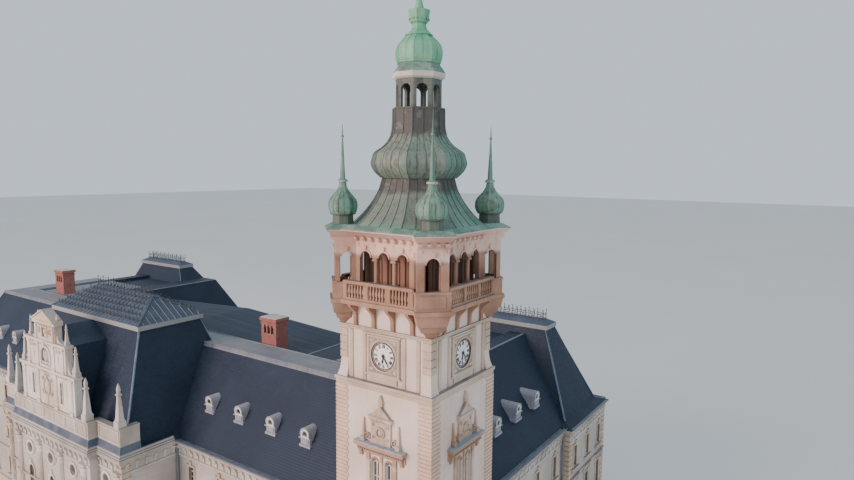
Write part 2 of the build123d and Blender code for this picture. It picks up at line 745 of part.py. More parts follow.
def rear_mansard(near_y, top_z, runs):
    """A rear pavilion's roof on the right side, with the runs of its slopes: -X, +X, -Y and +Y."""
    inset = 410
    walls = (COURT_RIGHT_X, REAR_RIGHT_X, near_y, REAR_FAR_Y)
    foot = [a + inward * inset for inward, a in zip((1, -1, 1, -1), walls)]
    kick = [a - inward * (EAVES_OVERHANG - 10) for inward, a in zip((1, -1, 1, -1), walls)]
    top = [a + inward * travel for inward, a, travel in zip((1, -1, 1, -1), foot, runs)]
    return Mansard(tuple(kick), tuple(foot), tuple(top), top_z)


PAVILION_FOOT = (AXIS_X - PAVILION_FOOT_HALF, AXIS_X + PAVILION_FOOT_HALF, *PAVILION_FOOT_Y)
PAVILION_TOP = (AXIS_X - PAVILION_TOP_HALF, AXIS_X + PAVILION_TOP_HALF, *PAVILION_TOP_Y)
PAVILION_KICK = (PAVILION_FOOT[0] - 3 * MANSARD_KICK, PAVILION_FOOT[1] + 3 * MANSARD_KICK,
                 PAVILION_FOOT[2] - MANSARD_KICK / 2, PAVILION_FOOT[3] + MANSARD_KICK)
front_mansard = Mansard(PAVILION_KICK, PAVILION_FOOT, PAVILION_TOP, PAVILION_TOP_Z)
right_mansard = rear_mansard(REAR_NEAR_Y, 11545, (1755, 1755, 1484, 1500))
left_mansard = rear_mansard(LEFT_REAR_NEAR_Y, 12050, (2820, 2400, 1590, 2830))

front_mass, front_inside = front_mansard.body(), front_mansard.inside()
right_mass, right_inside = right_mansard.body(), right_mansard.inside()
left_mass, left_inside = left_mansard.body(), left_mansard.inside()
left_mass_there = mirrored(left_mass)
right_arm, right_arm_inside = arm_body(right_mansard), arm_inside(right_mansard)
left_arm, left_arm_inside = arm_body(left_mansard), arm_inside(left_mansard)
left_arm_there = mirrored(left_arm)
range_there, range_inside_there = mirrored(range_body), mirrored(range_inside)

range_shell = range_body - [range_inside, front_mass, right_arm, left_arm_there, tower_space, left_mass_there]
right_arm_shell = right_arm - [right_arm_inside, range_inside, right_mass, tower_space]
left_arm_shell = left_arm - [left_arm_inside, range_inside_there, left_mass]
front_shell = front_mass - [front_inside, range_inside]
right_shell = right_mass - [right_inside, right_arm_inside]
left_shell = left_mass - [left_inside, left_arm_inside, range_inside_there]

# Parting the range's shell into slopes, strips and deck

UNDER_TOP = TOP_Z - SKIN
hip_run = (RANGE_TOP[0] - RANGE_FOOT[0], RANGE_TOP[2] - RANGE_FOOT[2])


def on_left_hip(share):
    return RANGE_FOOT[0] + share * hip_run[0], RANGE_FOOT[2] + share * hip_run[1]


outer_hip, inner_hip = on_left_hip(-0.5), on_left_hip(1.25)
front_zone = upright([outer_hip, (REAR_RIGHT_X, outer_hip[1]), (REAR_RIGHT_X, inner_hip[1]), inner_hip],
                     WALL_TOP, UNDER_TOP)
left_zone = upright([outer_hip, inner_hip, (inner_hip[0], COURT_WALL_Y), (outer_hip[0], COURT_WALL_Y)],
                    WALL_TOP, UNDER_TOP)
deck_zone = block(DECK_X[0], DECK_X[1], STRIP_BACK_Y, DECK_VERGE_Y, WALL_TOP, TOP_Z)
rear_zone = block(DECK_X[0] - 3000, DECK_X[1] + 3000, DECK_VERGE_Y, COURT_WALL_Y, WALL_TOP, TOP_Z)
side_zone = block(ARM_TOP_X[1] - 200, REAR_RIGHT_X, 0, REAR_FAR_Y, WALL_TOP, UNDER_TOP)
court_zone = block(COURT_RIGHT_X, ARM_TOP_X[0] + 300, 0, REAR_FAR_Y, WALL_TOP, UNDER_TOP)

save("front_roof_slopes", range_shell & front_zone)
save("side_roof_slopes", range_shell & left_zone, right_arm_shell & side_zone,
     mirrored(left_arm_shell & side_zone))
save("court_roof_slopes", range_shell & rear_zone, right_arm_shell & court_zone,
     mirrored(left_arm_shell & court_zone))
save("slate_deck", range_shell & deck_zone)
strip_joint = block(LEFT_WALL_X, RIGHT_WALL_X, STRIP_BACK_Y - JOINT, STRIP_BACK_Y, WALL_TOP, HIGH)
save("ridge_strips", range_shell - [front_zone, left_zone, deck_zone, rear_zone, strip_joint])
save("arm_decks", right_arm_shell - [side_zone, court_zone],
     mirrored(left_arm_shell - [side_zone, court_zone]))

# Mansard slopes and their zinc caps


def cap(mansard, ridge, ridge_z):
    """A wide fascia round a mansard's flat top, with a low hipped roof over it."""
    edge = [a - inward * CAP_OVERHANG for inward, a in zip((1, -1, 1, -1), mansard.top)]
    fascia = block(*edge, mansard.top_z - CAP_FASCIA / 2, mansard.top_z + CAP_FASCIA / 2)
    hip = hip_body(edge, ridge, mansard.top_z + CAP_FASCIA / 2, ridge_z)
    return fascia + hip - mansard.body()


def low_ridge(mansard, inset):
    return [a + inward * inset for inward, a in zip((1, -1, 1, -1), mansard.top)]


ridge_y = sum(PAVILION_TOP_Y) / 2
pavilion_ridge = (AXIS_X - PAVILION_RIDGE_HALF, AXIS_X + PAVILION_RIDGE_HALF, ridge_y - 150, ridge_y + 150)
front_sides, front_lid = hip_sides(front_shell, PAVILION_FOOT, PAVILION_TOP, PAVILION_TOP_Z)
right_sides, right_lid = hip_sides(right_shell, right_mansard.foot, right_mansard.top, right_mansard.top_z)
left_sides, left_lid = hip_sides(left_shell, left_mansard.foot, left_mansard.top, left_mansard.top_z)
left_sides, left_lid = [mirrored(side) for side in left_sides], mirrored(left_lid)
right_cap = cap(right_mansard, low_ridge(right_mansard, REAR_RIDGE_INSET), right_mansard.top_z + REAR_CAP_RISE)
left_cap = cap(left_mansard, low_ridge(left_mansard, REAR_RIDGE_INSET), left_mansard.top_z + REAR_CAP_RISE)
front_cap = cap(front_mansard, pavilion_ridge, PAVILION_RIDGE_Z)

every_mansard = (front_sides, right_sides, left_sides)
save("mansard_ends", *[sides[i] for sides in every_mansard for i in (0, 2)])
save("mansard_flanks", *[sides[i] for sides in every_mansard for i in (1, 3)])
save("mansard_caps", front_lid + front_cap, right_lid + right_cap, left_lid + mirrored(left_cap))

# Parapet and gable

PARAPET_LINE = [(PAVILION_LEFT_X, PARAPET_BACK_Y), *PLAN[13:19], (PAVILION_RIGHT_X, PARAPET_BACK_Y)]
PARAPET = [(EAVES_OVERHANG - 40, EAVES_Z), (0, APRON_TOP_Z), (0, PARAPET_TOP_Z - COPING),
           (30, PARAPET_TOP_Z - COPING), (30, PARAPET_TOP_Z), (-PARAPET_THICKNESS - 20, PARAPET_TOP_Z),
           (-PARAPET_THICKNESS - 20, PARAPET_TOP_Z - COPING), (-PARAPET_THICKNESS, PARAPET_TOP_Z - COPING),
           (-PARAPET_THICKNESS, EAVES_Z)]


def parapet_gutter():
    """The lead flat behind the middle parapet, from the cornice to the mansard's foot."""
    half = PAVILION_CENTRE_HALF - WALL
    return block(AXIS_X - half, AXIS_X + half, PAVILION_CENTRE_Y + WALL, PAVILION_KICK[2] + 60,
                 EAVES_Z - SKIN, EAVES_Z) - front_mass


def shoulder(x0, z0, width, height, y0, y1):
    """A concave scroll between a tier's side and the ledge that it stands on."""
    curve = [(x0 + width * (1 - sin(t)), z0 + height * (1 - cos(t))) for t in
             [i * pi / 10 for i in range(6)]]
    points = [(x0, z0)] + curve[::-1]
    return along_y(points, y0, y1)


GABLE_FRONT_Y = PAVILION_CENTRE_Y + 30
GABLE_BACK_Y = GABLE_FRONT_Y + GABLE_DEPTH


def stepped_gable():
    """Three tiers with ledges, scrolls, niches and a small pediment."""
    y0, y1 = GABLE_FRONT_Y, GABLE_BACK_Y
    parts = []
    for z0, z1, half in GABLE_TIERS:
        parts.append(block(-half, half, y0, y1, z0, z1 - GABLE_LEDGE))
        ledge = half + GABLE_LEDGE_OUT
        parts.append(block(-ledge, ledge, y0 - 60, y1, z1 - GABLE_LEDGE, z1))
    for (z0, z1, half), (_, _, below) in zip(GABLE_TIERS[1:], GABLE_TIERS):
        width = (below - half) * 0.7
        scroll = shoulder(half, z0, width, (z1 - z0) * 0.55, y0 + 80, y1 - 80)
        parts += [scroll, mirror(scroll, Plane.YZ)]
    top_z, half = GABLE_TIERS[2][1], GABLE_TIERS[2][2] + GABLE_LEDGE_OUT
    parts.append(along_y([(-half, top_z), (half, top_z), (0, GABLE_APEX_Z)], y0 - 40, y1))
    back = block(-GABLE_TIERS[0][2], GABLE_TIERS[0][2], PAVILION_CENTRE_Y + PARAPET_THICKNESS + 20, y1,
                 EAVES_Z, GABLE_TIERS[0][0])
    gable = parts[0] + parts[1:] + back
    gable -= arched_block(940, 10640, 11500, y0 - 10, y0 + 110)
    gable -= [block(x - 95, x + 95, y0 - 10, y0 + 90, 9050, 10050) for x in (-1250, 1250)]
    gable -= [block(x - 260, x + 260, y0 - 10, y0 + 60, 11850, 12350) for x in (0,)]
    pilasters = [block(x - 110, x + 110, y0 - 40, y0, 8750, 10332) for x in (-2100, -800, 800, 2100)]
    pilasters += [block(x - 90, x + 90, y0 - 35, y0, 10452, 11600) for x in (-1500, -720, 720, 1500)]
    return Pos(AXIS_X, 0, 0) * (gable + pilasters)


def gable_roof():
    """The small saddle roof behind the gable with its slated cheeks, as a shell."""
    half, skin = SADDLE_HALF, SKIN / 2

    def section(inset):
        eaves, ridge = SADDLE_EAVES_Z - inset * 0.6, SADDLE_RIDGE_Z - inset * 1.2
        return [(-half + inset, EAVES_Z), (half - inset, EAVES_Z), (half - inset, eaves), (0, ridge),
                (-half + inset, eaves)]

    body = along_y(section(0), GABLE_BACK_Y, PAVILION_TOP_Y[0] + 400)
    body -= along_y(section(skin), GABLE_BACK_Y - 10, PAVILION_TOP_Y[0] + 500)
    return Pos(AXIS_X, 0, 0) * body - front_mass


def obelisk(x, y, z, scale=1):
    return square_body([(z + scale * rise, scale * half) for rise, half in OBELISK], x, y)


def gable_obelisks():
    """Obelisks on the parapet and smaller ones on the gable's ledges."""
    end_y, inner_y = PAVILION_END_Y + OBELISK[0][1] - 30, PAVILION_CENTRE_Y + OBELISK[0][1] - 30
    middle_y = GABLE_FRONT_Y + GABLE_DEPTH / 2
    spots = [(END_OBELISK_X, end_y, PARAPET_TOP_Z, 1), (INNER_OBELISK_X, inner_y, PARAPET_TOP_Z, 1)]
    spots.append((GABLE_TIERS[0][2] - 60, middle_y, GABLE_TIERS[0][1], 0.72))
    spots.append((GABLE_TIERS[1][2] - 110, middle_y, GABLE_TIERS[1][1], 0.5))
    return [obelisk(AXIS_X + side * x, y, z, scale) for x, y, z, scale in spots for side in (-1, 1)]


save("gable_parapet", *[piece - front_mass for piece in walk(PARAPET_LINE, PARAPET)], parapet_gutter())
save("stepped_gable", stepped_gable())
save("gable_saddle_roof", gable_roof())
save("gable_obelisks", *gable_obelisks())

# Dormers, chimneys and crestings


def dormer():
    """A barrel-roofed dormer that looks to -Y, long enough to run into any slope behind it."""
    width, sill, crown = DORMER_WIDTH, DORMER_SILL_Z, DORMER_CROWN_Z
    slope = (TOP_FRONT_Y - RANGE_FOOT[2]) / (TOP_Z - EAVES_Z)
    front = (sill - EAVES_Z) * slope - 40
    body = arched_block(width, sill - 40, crown, front, front + 1200)
    body += block(-width / 2 - 50, width / 2 + 50, front - 45, front + 1200, sill - 40, sill + 60)
    recess = arched_block(width - 150, sill + 160, crown - 90, front - 100, front + DORMER_RECESS)
    return body - recess


def dormer_row(count, first, pitch, turn, foot):
    """Dormers along one slope, from its foot line, cut off where they meet the roof."""
    row = []
    for i in range(count):
        place = first + i * pitch
        spot = Pos(place, foot, 0) if turn == 0 else Pos(foot, place, 0) * Rot(0, 0, turn)
        row.append(spot * dormer() - [range_body, right_arm])
    return row


front_rows = dormer_row(*FRONT_DORMERS, 0, RANGE_FOOT[2]) + dormer_row(*LEFT_DORMERS, 0, RANGE_FOOT[2])
side_rows = dormer_row(*SIDE_DORMERS, 90, RANGE_FOOT[1])


def chimney(x, y, top):
    """A brick shaft with arched vents and a cap slab, standing on the slate deck."""
    a, b = CHIMNEY_SIZE[0] / 2, CHIMNEY_SIZE[1] / 2
    height, out = CHIMNEY_CAP
    shaft = block(x - a, x + a, y - b, y + b, DECK_LOW_Z - 200, top - height) - range_body
    vents = [Pos(x, y, 0) * arched_block(160, top - 750, top - 330, -b - 10, -b + 60, i) for i in (-240, 0, 240)]
    slab = block(x - a - out, x + a + out, y - b - out, y + b + out, top - height, top)
    return shaft - vents + slab


def crest(start, end):
    """An iron cresting: two rails and their posts, upright along a line at one level."""
    length = length_of(start, end)
    half = CREST_BAR / 2
    z = start[2]
    bars = [block(0, length, -half, half, z + 30, z + 30 + CREST_BAR),
            block(0, length, -half, half, z + CREST_HEIGHT - 90, z + CREST_HEIGHT - 90 + CREST_BAR)]
    count = max(2, round(length / CREST_PITCH) + 1)
    for i in range(count):
        x = half + i * (length - CREST_BAR) / (count - 1)
        bars.append(block(x - half, x + half, -half, half, z, z + CREST_HEIGHT))
    return facing(start[:2], end[:2], 0) * (bars[0] + bars[1:])


def crest_ring(rectangle_sides, z):
    """Cresting round a rectangle, its sides kept apart at the corners."""
    x0, x1, y0, y1 = rectangle_sides
    gap = CREST_BAR
    return [crest((x0 + gap, y0, z), (x1 - gap, y0, z)), crest((x1, y0 + gap, z), (x1, y1 - gap, z)),
            crest((x0 + gap, y1, z), (x1 - gap, y1, z)), crest((x0, y0 + gap, z), (x0, y1 - gap, z))]


def crestings():
    """Cresting on the three caps, each standing on its cap's ridge or flat."""
    y = (pavilion_ridge[2] + pavilion_ridge[3]) / 2
    pieces = [crest((pavilion_ridge[0], y, PAVILION_RIDGE_Z), (pavilion_ridge[1], y, PAVILION_RIDGE_Z))]
    for mansard, move in ((right_mansard, lambda shape: shape), (left_mansard, mirrored)):
        flat = low_ridge(mansard, REAR_RIDGE_INSET + CREST_BAR)
        pieces += [move(piece) for piece in crest_ring(flat, mansard.top_z + REAR_CAP_RISE)]
    return pieces


save("roof_dormers", *front_rows, *side_rows)
save("chimneys", *[chimney(*spot) for spot in CHIMNEYS])
save("roof_crestings", *crestings())

# Tower shaft


def tower_front_wall():
    """The front wall over the tower's full width, with its windows cut through."""
    wall = block(-SHAFT_HALF, SHAFT_HALF, -SHAFT_HALF, -SHAFT_HALF + TOWER_WALL, 0, STRING_Z - STRING_HEIGHT)
    y0, y1 = -SHAFT_HALF - 10, -SHAFT_HALF + TOWER_WALL + 10
    cuts = [opening(row, y0, y1) for row in PLAIN_ROWS]
    cuts += [opening(TOWER_LIGHT, y0, y1, x) for x in (-TOWER_LIGHT_X, TOWER_LIGHT_X)]
    return wall - cuts


def tower_side_wall(wall):
    """A wall that fits between the front and back walls, made from a full-width one."""
    half = SHAFT_HALF - TOWER_WALL - JOINT
    return wall & block(-half, half, -SHAFT_HALF - 10, SHAFT_HALF, 0, HIGH)


tower_front = tower_front_wall()
blind_wall = block(-SHAFT_HALF, SHAFT_HALF, -SHAFT_HALF, -SHAFT_HALF + TOWER_WALL, 0, STRING_Z - STRING_HEIGHT)
tower_right = Rot(0, 0, FACES["right"]) * tower_side_wall(tower_front)
tower_left = Rot(0, 0, FACES["left"]) * tower_side_wall(blind_wall)
save("tower_walls", tower_front, Rot(0, 0, FACES["back"]) * blind_wall, tower_right, tower_left)


def square_line(half):
    return [(-half, -half), (half, -half), (half, half), (-half, half)]


STRING_PROFILE = [(-TOWER_WALL, STRING_Z - STRING_HEIGHT), (15, STRING_Z - STRING_HEIGHT),
                  (25, STRING_Z - 150), (STRING_OUT, STRING_Z - 90), (STRING_OUT, STRING_Z),
                  (-TOWER_WALL - 120, STRING_Z), (-TOWER_WALL - 120, STRING_Z - 100), (-TOWER_WALL, STRING_Z - 100)]
tower_string = walk(square_line(SHAFT_HALF), STRING_PROFILE, closed=True)


def window_surround():
    """The framed double window of the tower's front, with its cornice, pediment and obelisks."""
    y = -SHAFT_HALF
    parts = [block(-660, 660, y - 90, y, 7830, 7950), block(-1024, 1024, y - 240, y, 10200, 10317),
             block(-960, 960, y - 170, y, 10110, 10200)]
    parts += [block(x - 75, x + 75, y - 60, y, 7950, 10110) for x in (-555, 555)]
    parts += [block(-50, 50, y - 50, y, 7950, 10110), block(-1000, 1000, y - 40, y, 9900, 10110)]
    consoles = [(y, 9780), (y - 60, 9780), (y - 90, 9900), (y - 150, 10110), (y, 10110)]
    parts += [along_x(consoles, x - 60, x + 60) for x in (-850, 850)]
    parts.append(block(-410, 410, y - 70, y, 10317, 11150))
    parts.append(block(-470, 470, y - 130, y, 11150, 11270))
    parts.append(along_y([(-430, 11270), (430, 11270), (0, 11662)], y - 120, y))
    parts.append(along_y([(-60, 11640), (60, 11640), (90, 11800), (0, 12030), (-90, 11800)], y - 100, y))
    for x in (-731, 731):
        parts.append(rings([rectangle(x - 80, x + 80, y - 150, y, 10317), rectangle(x - 80, x + 80, y - 150, y, 10480),
                            rectangle(x - 50, x + 50, y - 110, y, 10520), rectangle(x - 15, x + 15, y - 60, y, 11115)]))
    return parts[0] + parts[1:]


surround = window_surround()
save("tower_window_surrounds", surround, Rot(0, 0, FACES["right"]) * surround)

# Clock storey


def clock_wall():
    """A wall of the clock storey, bored for the hands' arbors."""
    wall = block(-CLOCK_HALF, CLOCK_HALF, -CLOCK_HALF, -CLOCK_INSIDE, STRING_Z, GALLERY_FLOOR[0])
    return wall - rod(PIPE_R + 20, -CLOCK_HALF - 10, -CLOCK_INSIDE + 10, 0, CLOCK_Z)


def corner_flares():
    """The concave sweep at the foot of the front wall's two corners, over the string cornice."""
    inner, outer = CLOCK_INSIDE + JOINT, CLOCK_HALF
    levels = [rectangle(inner, outer + out, -outer - out, -inner, z) for z, out in CORNER_FLARE]
    flare = rings(levels)
    return [flare, mirror(flare, Plane.YZ)]


full_clock_wall = clock_wall()
fit = CLOCK_INSIDE - JOINT
narrow_clock_wall = full_clock_wall & block(-fit, fit, -CLOCK_HALF, 0, STRING_Z, HIGH)
full_clock_wall += corner_flares()
save("clock_storey_walls", full_clock_wall, Rot(0, 0, 90) * narrow_clock_wall,
     Rot(0, 0, 180) * full_clock_wall, Rot(0, 0, 270) * narrow_clock_wall)

z = CLOCK_MOULDING_Z
CLOCK_MOULDING = [(0, z - 110), (20, z - 110), (30, z - 40), (70, z), (70, z + 40), (0, z + 40)]
save("tower_mouldings", *tower_string, *walk(square_line(CLOCK_HALF), CLOCK_MOULDING, closed=True))

dial = rod(DIAL_R, -CLOCK_HALF - DIAL_THICKNESS, -CLOCK_HALF, 0, CLOCK_Z)
dial -= rod(PIPE_R + RUNNING_FIT, -CLOCK_HALF - DIAL_THICKNESS - 10, -CLOCK_HALF + 10, 0, CLOCK_Z)
panel = block(-PANEL_HALF, PANEL_HALF, -CLOCK_HALF - PANEL_THICKNESS, -CLOCK_HALF, CLOCK_Z - PANEL_HALF,
              CLOCK_Z + PANEL_HALF)
panel -= rod(DIAL_R + JOINT, -CLOCK_HALF - PANEL_THICKNESS - 10, -CLOCK_HALF + 10, 0, CLOCK_Z)
save("clock_faces", *on_all_faces([dial, panel]))


def hand(outline, y_front, hub_r, stem_r, stem_end, angle):
    """A hand with its hub and the stem behind it, turned clockwise from twelve."""
    y_back = y_front + HAND_THICKNESS
    blade = along_y(outline, y_front, y_back) + rod(hub_r, y_front, y_back)
    body = blade + rod(stem_r, y_back, stem_end)
    return Pos(0, 0, CLOCK_Z) * Rot(0, angle, 0) * body


dial_front = -CLOCK_HALF - DIAL_THICKNESS
hour_y = dial_front - HAND_GAP - HAND_THICKNESS
minute_y = hour_y - HAND_GAP - HAND_THICKNESS
minute_angle = SHOWN_MINUTE * 6
hour_angle = SHOWN_HOUR * 30 + SHOWN_MINUTE / 2
minute_hand = hand(MINUTE_OUTLINE, minute_y, HUB_R, ARBOR_R, -CLOCK_INSIDE + 60, minute_angle)
hour_hand = hand(HOUR_OUTLINE, hour_y, HUB_R, PIPE_R, -CLOCK_INSIDE + 20, hour_angle)
hour_hand -= rod(ARBOR_R + RUNNING_FIT, hour_y - 10, -CLOCK_INSIDE + 30, 0, CLOCK_Z)
for face, angle in FACES.items():
    save(f"{face}_minute_hand", Rot(0, 0, angle) * minute_hand)
    save(f"{face}_hour_hand", Rot(0, 0, angle) * hour_hand)

# Gallery


def bracket(x):
    """A scroll bracket under the gallery's floor."""
    y = -CLOCK_HALF
    z0, z1 = CLOCK_MOULDING_Z + 40, GALLERY_FLOOR[0]
    profile = [(y, z0), (y - 60, z0), (y - 90, z0 + 90), (y - 95, z0 + 330), (y - 150, z0 + 470),
               (y - 270, z0 + 590), (y - 380, z1 - 90), (y - 400, z1), (y, z1)]
    return along_x(profile, x - BRACKET_WIDTH / 2, x + BRACKET_WIDTH / 2)


BAY_CORBEL = ((14200, 150, 2650), (14400, 290, 2730), (14400.5, 340, 2780), (14600, 400, 2840),
              (14600.5, 450, 2890), (14955, 540, 2950))


def bay_corbel():
    """The stepped corbel under a corner bay, cut off at the clock storey's corner."""
    outlines = [rectangle(-half, half, -out, -2300, z) for z, half, out in BAY_CORBEL]
    walls = block(-CLOCK_HALF - 70, CLOCK_HALF + 70, -CLOCK_HALF - 70, CLOCK_HALF + 70, 0, CLOCK_MOULDING_Z + 41)
    walls += block(-CLOCK_HALF, CLOCK_HALF, -CLOCK_HALF, CLOCK_HALF, 0, HIGH)
    return Rot(0, 0, 45) * rings(outlines) - walls


save("gallery_corbels", *on_all_faces([bracket(x) for x in BRACKET_X] + [bay_corbel()]))
save("gallery_floor", upright(gallery_plan(*GALLERY_EDGE), *GALLERY_FLOOR))

BALUSTER = ((0, 34), (60, 34), (90, 22), (200, 44), (330, 26), (400, 22), (460, 34))


def straight_turn(plan):
    """Half the length of a gallery side, up to where the corner bay begins."""
    return plan[0] - plan[2] * sqrt(2)


def balustrade():
    """One side's rails, pedestals and three panels of balusters, in one piece."""
    y1 = -BALUSTRADE[0] + RAIL_THICKNESS
    y0 = -BALUSTRADE[0]
    y = (y0 + y1) / 2
    z0, z1 = GALLERY_FLOOR[1], RAIL_Z
    half = straight_turn(BALUSTRADE) - JOINT
    rail = 80
    parts = [block(-half, half, y0, y1, z0, z0 + rail), block(-half, half, y0 - 15, y1 + 15, z1 - rail, z1)]
    panel_length = (2 * half - 4 * PEDESTAL) / 3
    for i in range(4):
        x = -half + i * (panel_length + PEDESTAL)
        parts.append(block(x, x + PEDESTAL, y0, y1, z0 + rail, z1 - rail))
    for panel_index in range(3):
        x0 = -half + PEDESTAL + panel_index * (panel_length + PEDESTAL)
        for i in range(BALUSTERS):
            x = x0 + (i + 0.5) * panel_length / BALUSTERS
            parts.append(square_body([(z0 + rail + rise, r) for rise, r in BALUSTER], x, y))
    return parts[0] + parts[1:]


bay_edges = [i for i in range(16) if i % 4]
parapet_profile = [(0, GALLERY_FLOOR[1]), (0, BAY_PARAPET_Z), (-RAIL_THICKNESS, BAY_PARAPET_Z),
                   (-RAIL_THICKNESS, GALLERY_FLOOR[1])]
parapets = walk(gallery_plan(*BALUSTRADE), parapet_profile, closed=True)
save("gallery_balustrade", *on_all_faces([balustrade()]), *[parapets[i] for i in bay_edges])


def arcade_edges(z0, z1):
    """The sixteen lengths of the arcade's wall between two levels."""
    profile = [(0, z0), (0, z1), (-ARCADE_THICKNESS, z1), (-ARCADE_THICKNESS, z0)]
    return walk(gallery_plan(*ARCADE), profile, closed=True)


def arch_places(index):
    """The width and the middles of the arches in one length of the arcade."""
    corners = gallery_plan(*ARCADE)
    start, end = corners[index], corners[(index + 1) % 16]
    middle = length_of(start, end) / 2
    if index % 4 == 0:
        return MAIN_ARCH, [facing(start, end, x) for x in centred(3, MAIN_ARCH_PITCH, middle)]
    return (BAY_ARCH if index % 4 == 2 else SIDE_ARCH), [facing(start, end, middle)]


def gallery_arches():
    """The wall over the springing, with the arches' round heads cut through."""
    pieces = []
    for i, wall in enumerate(arcade_edges(SPRING_Z, ARCADE_TOP_Z)):
        width, places = arch_places(i)
        pieces.append(wall - [place * rod(width / 2, -20, ARCADE_THICKNESS + 20, 0, SPRING_Z)
                              for place in places])
    return pieces


def gallery_piers():
    """Everything that carries the arches: corner piers, and columns between the main arches."""
    pieces = []
    for i, (tall, short) in enumerate(zip(arcade_edges(GALLERY_FLOOR[1], SPRING_Z),
                                          arcade_edges(BAY_PARAPET_Z, SPRING_Z))):
        width, places = arch_places(i)
        reach = width / 2 + (MAIN_ARCH_PITCH if i % 4 == 0 else 0)
        middle = places[len(places) // 2]
        wall = tall if i % 4 == 0 else short
        pieces.append(wall - middle * block(-reach, reach, -20, ARCADE_THICKNESS + 20, 0, HIGH))
    y = -ARCADE[0] + ARCADE_THICKNESS / 2
    for x in (-MAIN_ARCH_PITCH / 2, MAIN_ARCH_PITCH / 2):
        pieces += on_all_faces([column(x, y)])
    return pieces


def column(x, y):
    """A gallery column: a square pedestal, a round shaft and a spreading capital."""
    z0, z1 = GALLERY_FLOOR[1], SPRING_Z
    half = ARCADE_THICKNESS / 2
    pedestal = square_body(((z0, half), (z0 + 560, half)), x, y)
    shaft = Pos(x, y, (z0 + 560 + z1 - 120) / 2) * Cylinder(72, z1 - z0 - 680)
    capital = square_body(((z1 - 120, 64), (z1 - 60, half), (z1, half)), x, y)
    return pedestal + [shaft, capital]


save("gallery_piers", *gallery_piers())
save("gallery_arches", *gallery_arches())

# Tower roof

eaves_levels = ((ARCADE, ARCADE_TOP_Z), (EAVES_MOULD, ARCADE_TOP_Z + 100), (EAVES_EDGE, TOWER_EAVES_Z - 60),
                (EAVES_EDGE, TOWER_EAVES_Z), (SKIRT_TOP, TOWER_EAVES_Z + SKIRT_RISE))
save("tower_eaves_cornice", rings([gallery_ring(plan, z) for plan, z in eaves_levels]))
save("tower_roof", octagon_shell(ROOF_RINGS, COPPER))
save("tower_bulb", octagon_shell(BULB_RINGS, COPPER) + octagon_body(LANTERN_FLOOR))


def lantern_ring(z0, z1):
    inner = [(z0 - 10, LANTERN_HALF - LANTERN_WALL), (z1 + 10, LANTERN_HALF - LANTERN_WALL)]
    return octagon_body(((z0, LANTERN_HALF), (z1, LANTERN_HALF))) - octagon_body(inner)


LANTERN_TOP = CAP_RINGS[0][0]


def lantern_cuts(make):
    return [Rot(0, 0, i * 45) * make() for i in range(8)]


gap_half = LANTERN_ARCH / 2
posts = lantern_ring(LANTERN_FLOOR[1][0], LANTERN_SPRING_Z)
posts -= lantern_cuts(lambda: block(-gap_half, gap_half, -LANTERN_HALF - 50, -LANTERN_HALF / 2, 0, LANTERN_TOP))
heads = lantern_ring(LANTERN_SPRING_Z, LANTERN_TOP)
heads -= lantern_cuts(lambda: rod(gap_half, -LANTERN_HALF - 50, -LANTERN_HALF / 2, 0, LANTERN_SPRING_Z))
save("lantern_posts", posts)
save("lantern_arches", heads)
save("lantern_cornice", octagon_body(CAP_RINGS))
save("lantern_dome", octagon_shell(DOME_RINGS, COPPER))
save("tower_finial", octagon_body(NECK_RINGS + FINIAL_RINGS[1:]))

corners = [(a * TURRET_OFFSET, b * TURRET_OFFSET) for a in (-1, 1) for b in (-1, 1)]
save("corner_turrets", *[octagon_body(TURRET_RINGS + SPIRE_RINGS, corner) for corner in corners])
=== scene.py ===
"""Looks of a town hall building at half its real size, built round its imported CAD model."""

import functools
import json
import logging
import math
import operator
from dataclasses import dataclass
from enum import Enum
from typing import Any, Iterable, Optional, Sequence, Union

import bmesh
import bpy
import numpy as np
from mathutils import Matrix, Vector

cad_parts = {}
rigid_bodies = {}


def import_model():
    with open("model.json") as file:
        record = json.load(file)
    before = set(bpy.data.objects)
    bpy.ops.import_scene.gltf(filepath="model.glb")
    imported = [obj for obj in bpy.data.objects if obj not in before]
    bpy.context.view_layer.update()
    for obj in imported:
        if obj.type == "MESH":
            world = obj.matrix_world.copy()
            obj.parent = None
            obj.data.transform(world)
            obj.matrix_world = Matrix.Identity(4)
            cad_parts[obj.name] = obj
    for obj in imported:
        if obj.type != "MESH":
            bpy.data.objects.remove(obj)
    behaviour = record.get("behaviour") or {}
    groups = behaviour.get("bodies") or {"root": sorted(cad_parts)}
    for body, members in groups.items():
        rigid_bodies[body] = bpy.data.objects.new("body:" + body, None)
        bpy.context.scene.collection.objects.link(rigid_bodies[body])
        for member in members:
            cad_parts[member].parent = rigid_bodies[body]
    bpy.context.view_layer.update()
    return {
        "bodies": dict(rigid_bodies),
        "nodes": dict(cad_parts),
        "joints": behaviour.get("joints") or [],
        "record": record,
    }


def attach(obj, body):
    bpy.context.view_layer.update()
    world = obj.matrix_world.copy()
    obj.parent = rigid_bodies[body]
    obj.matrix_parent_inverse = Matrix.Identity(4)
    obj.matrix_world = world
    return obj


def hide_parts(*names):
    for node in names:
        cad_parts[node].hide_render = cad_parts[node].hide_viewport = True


log = logging.getLogger("town_hall")
Pair = tuple[float, float]
Rgb = tuple[float, float, float]
Spots = Sequence[Sequence[float]]
Number = Union[float, "Wire"]
Colour = Union[str, Rgb, "Wire"]


def tone(code: str) -> Rgb:
    """A colour in Blender's linear values, from six hexadecimal digits as a screen shows it."""
    parts = [int(code[i:i + 2], 16) / 255 for i in (0, 2, 4)]
    return tuple(((c + 0.055) / 1.055) ** 2.4 if c > 0.04 else c / 12.92 for c in parts)


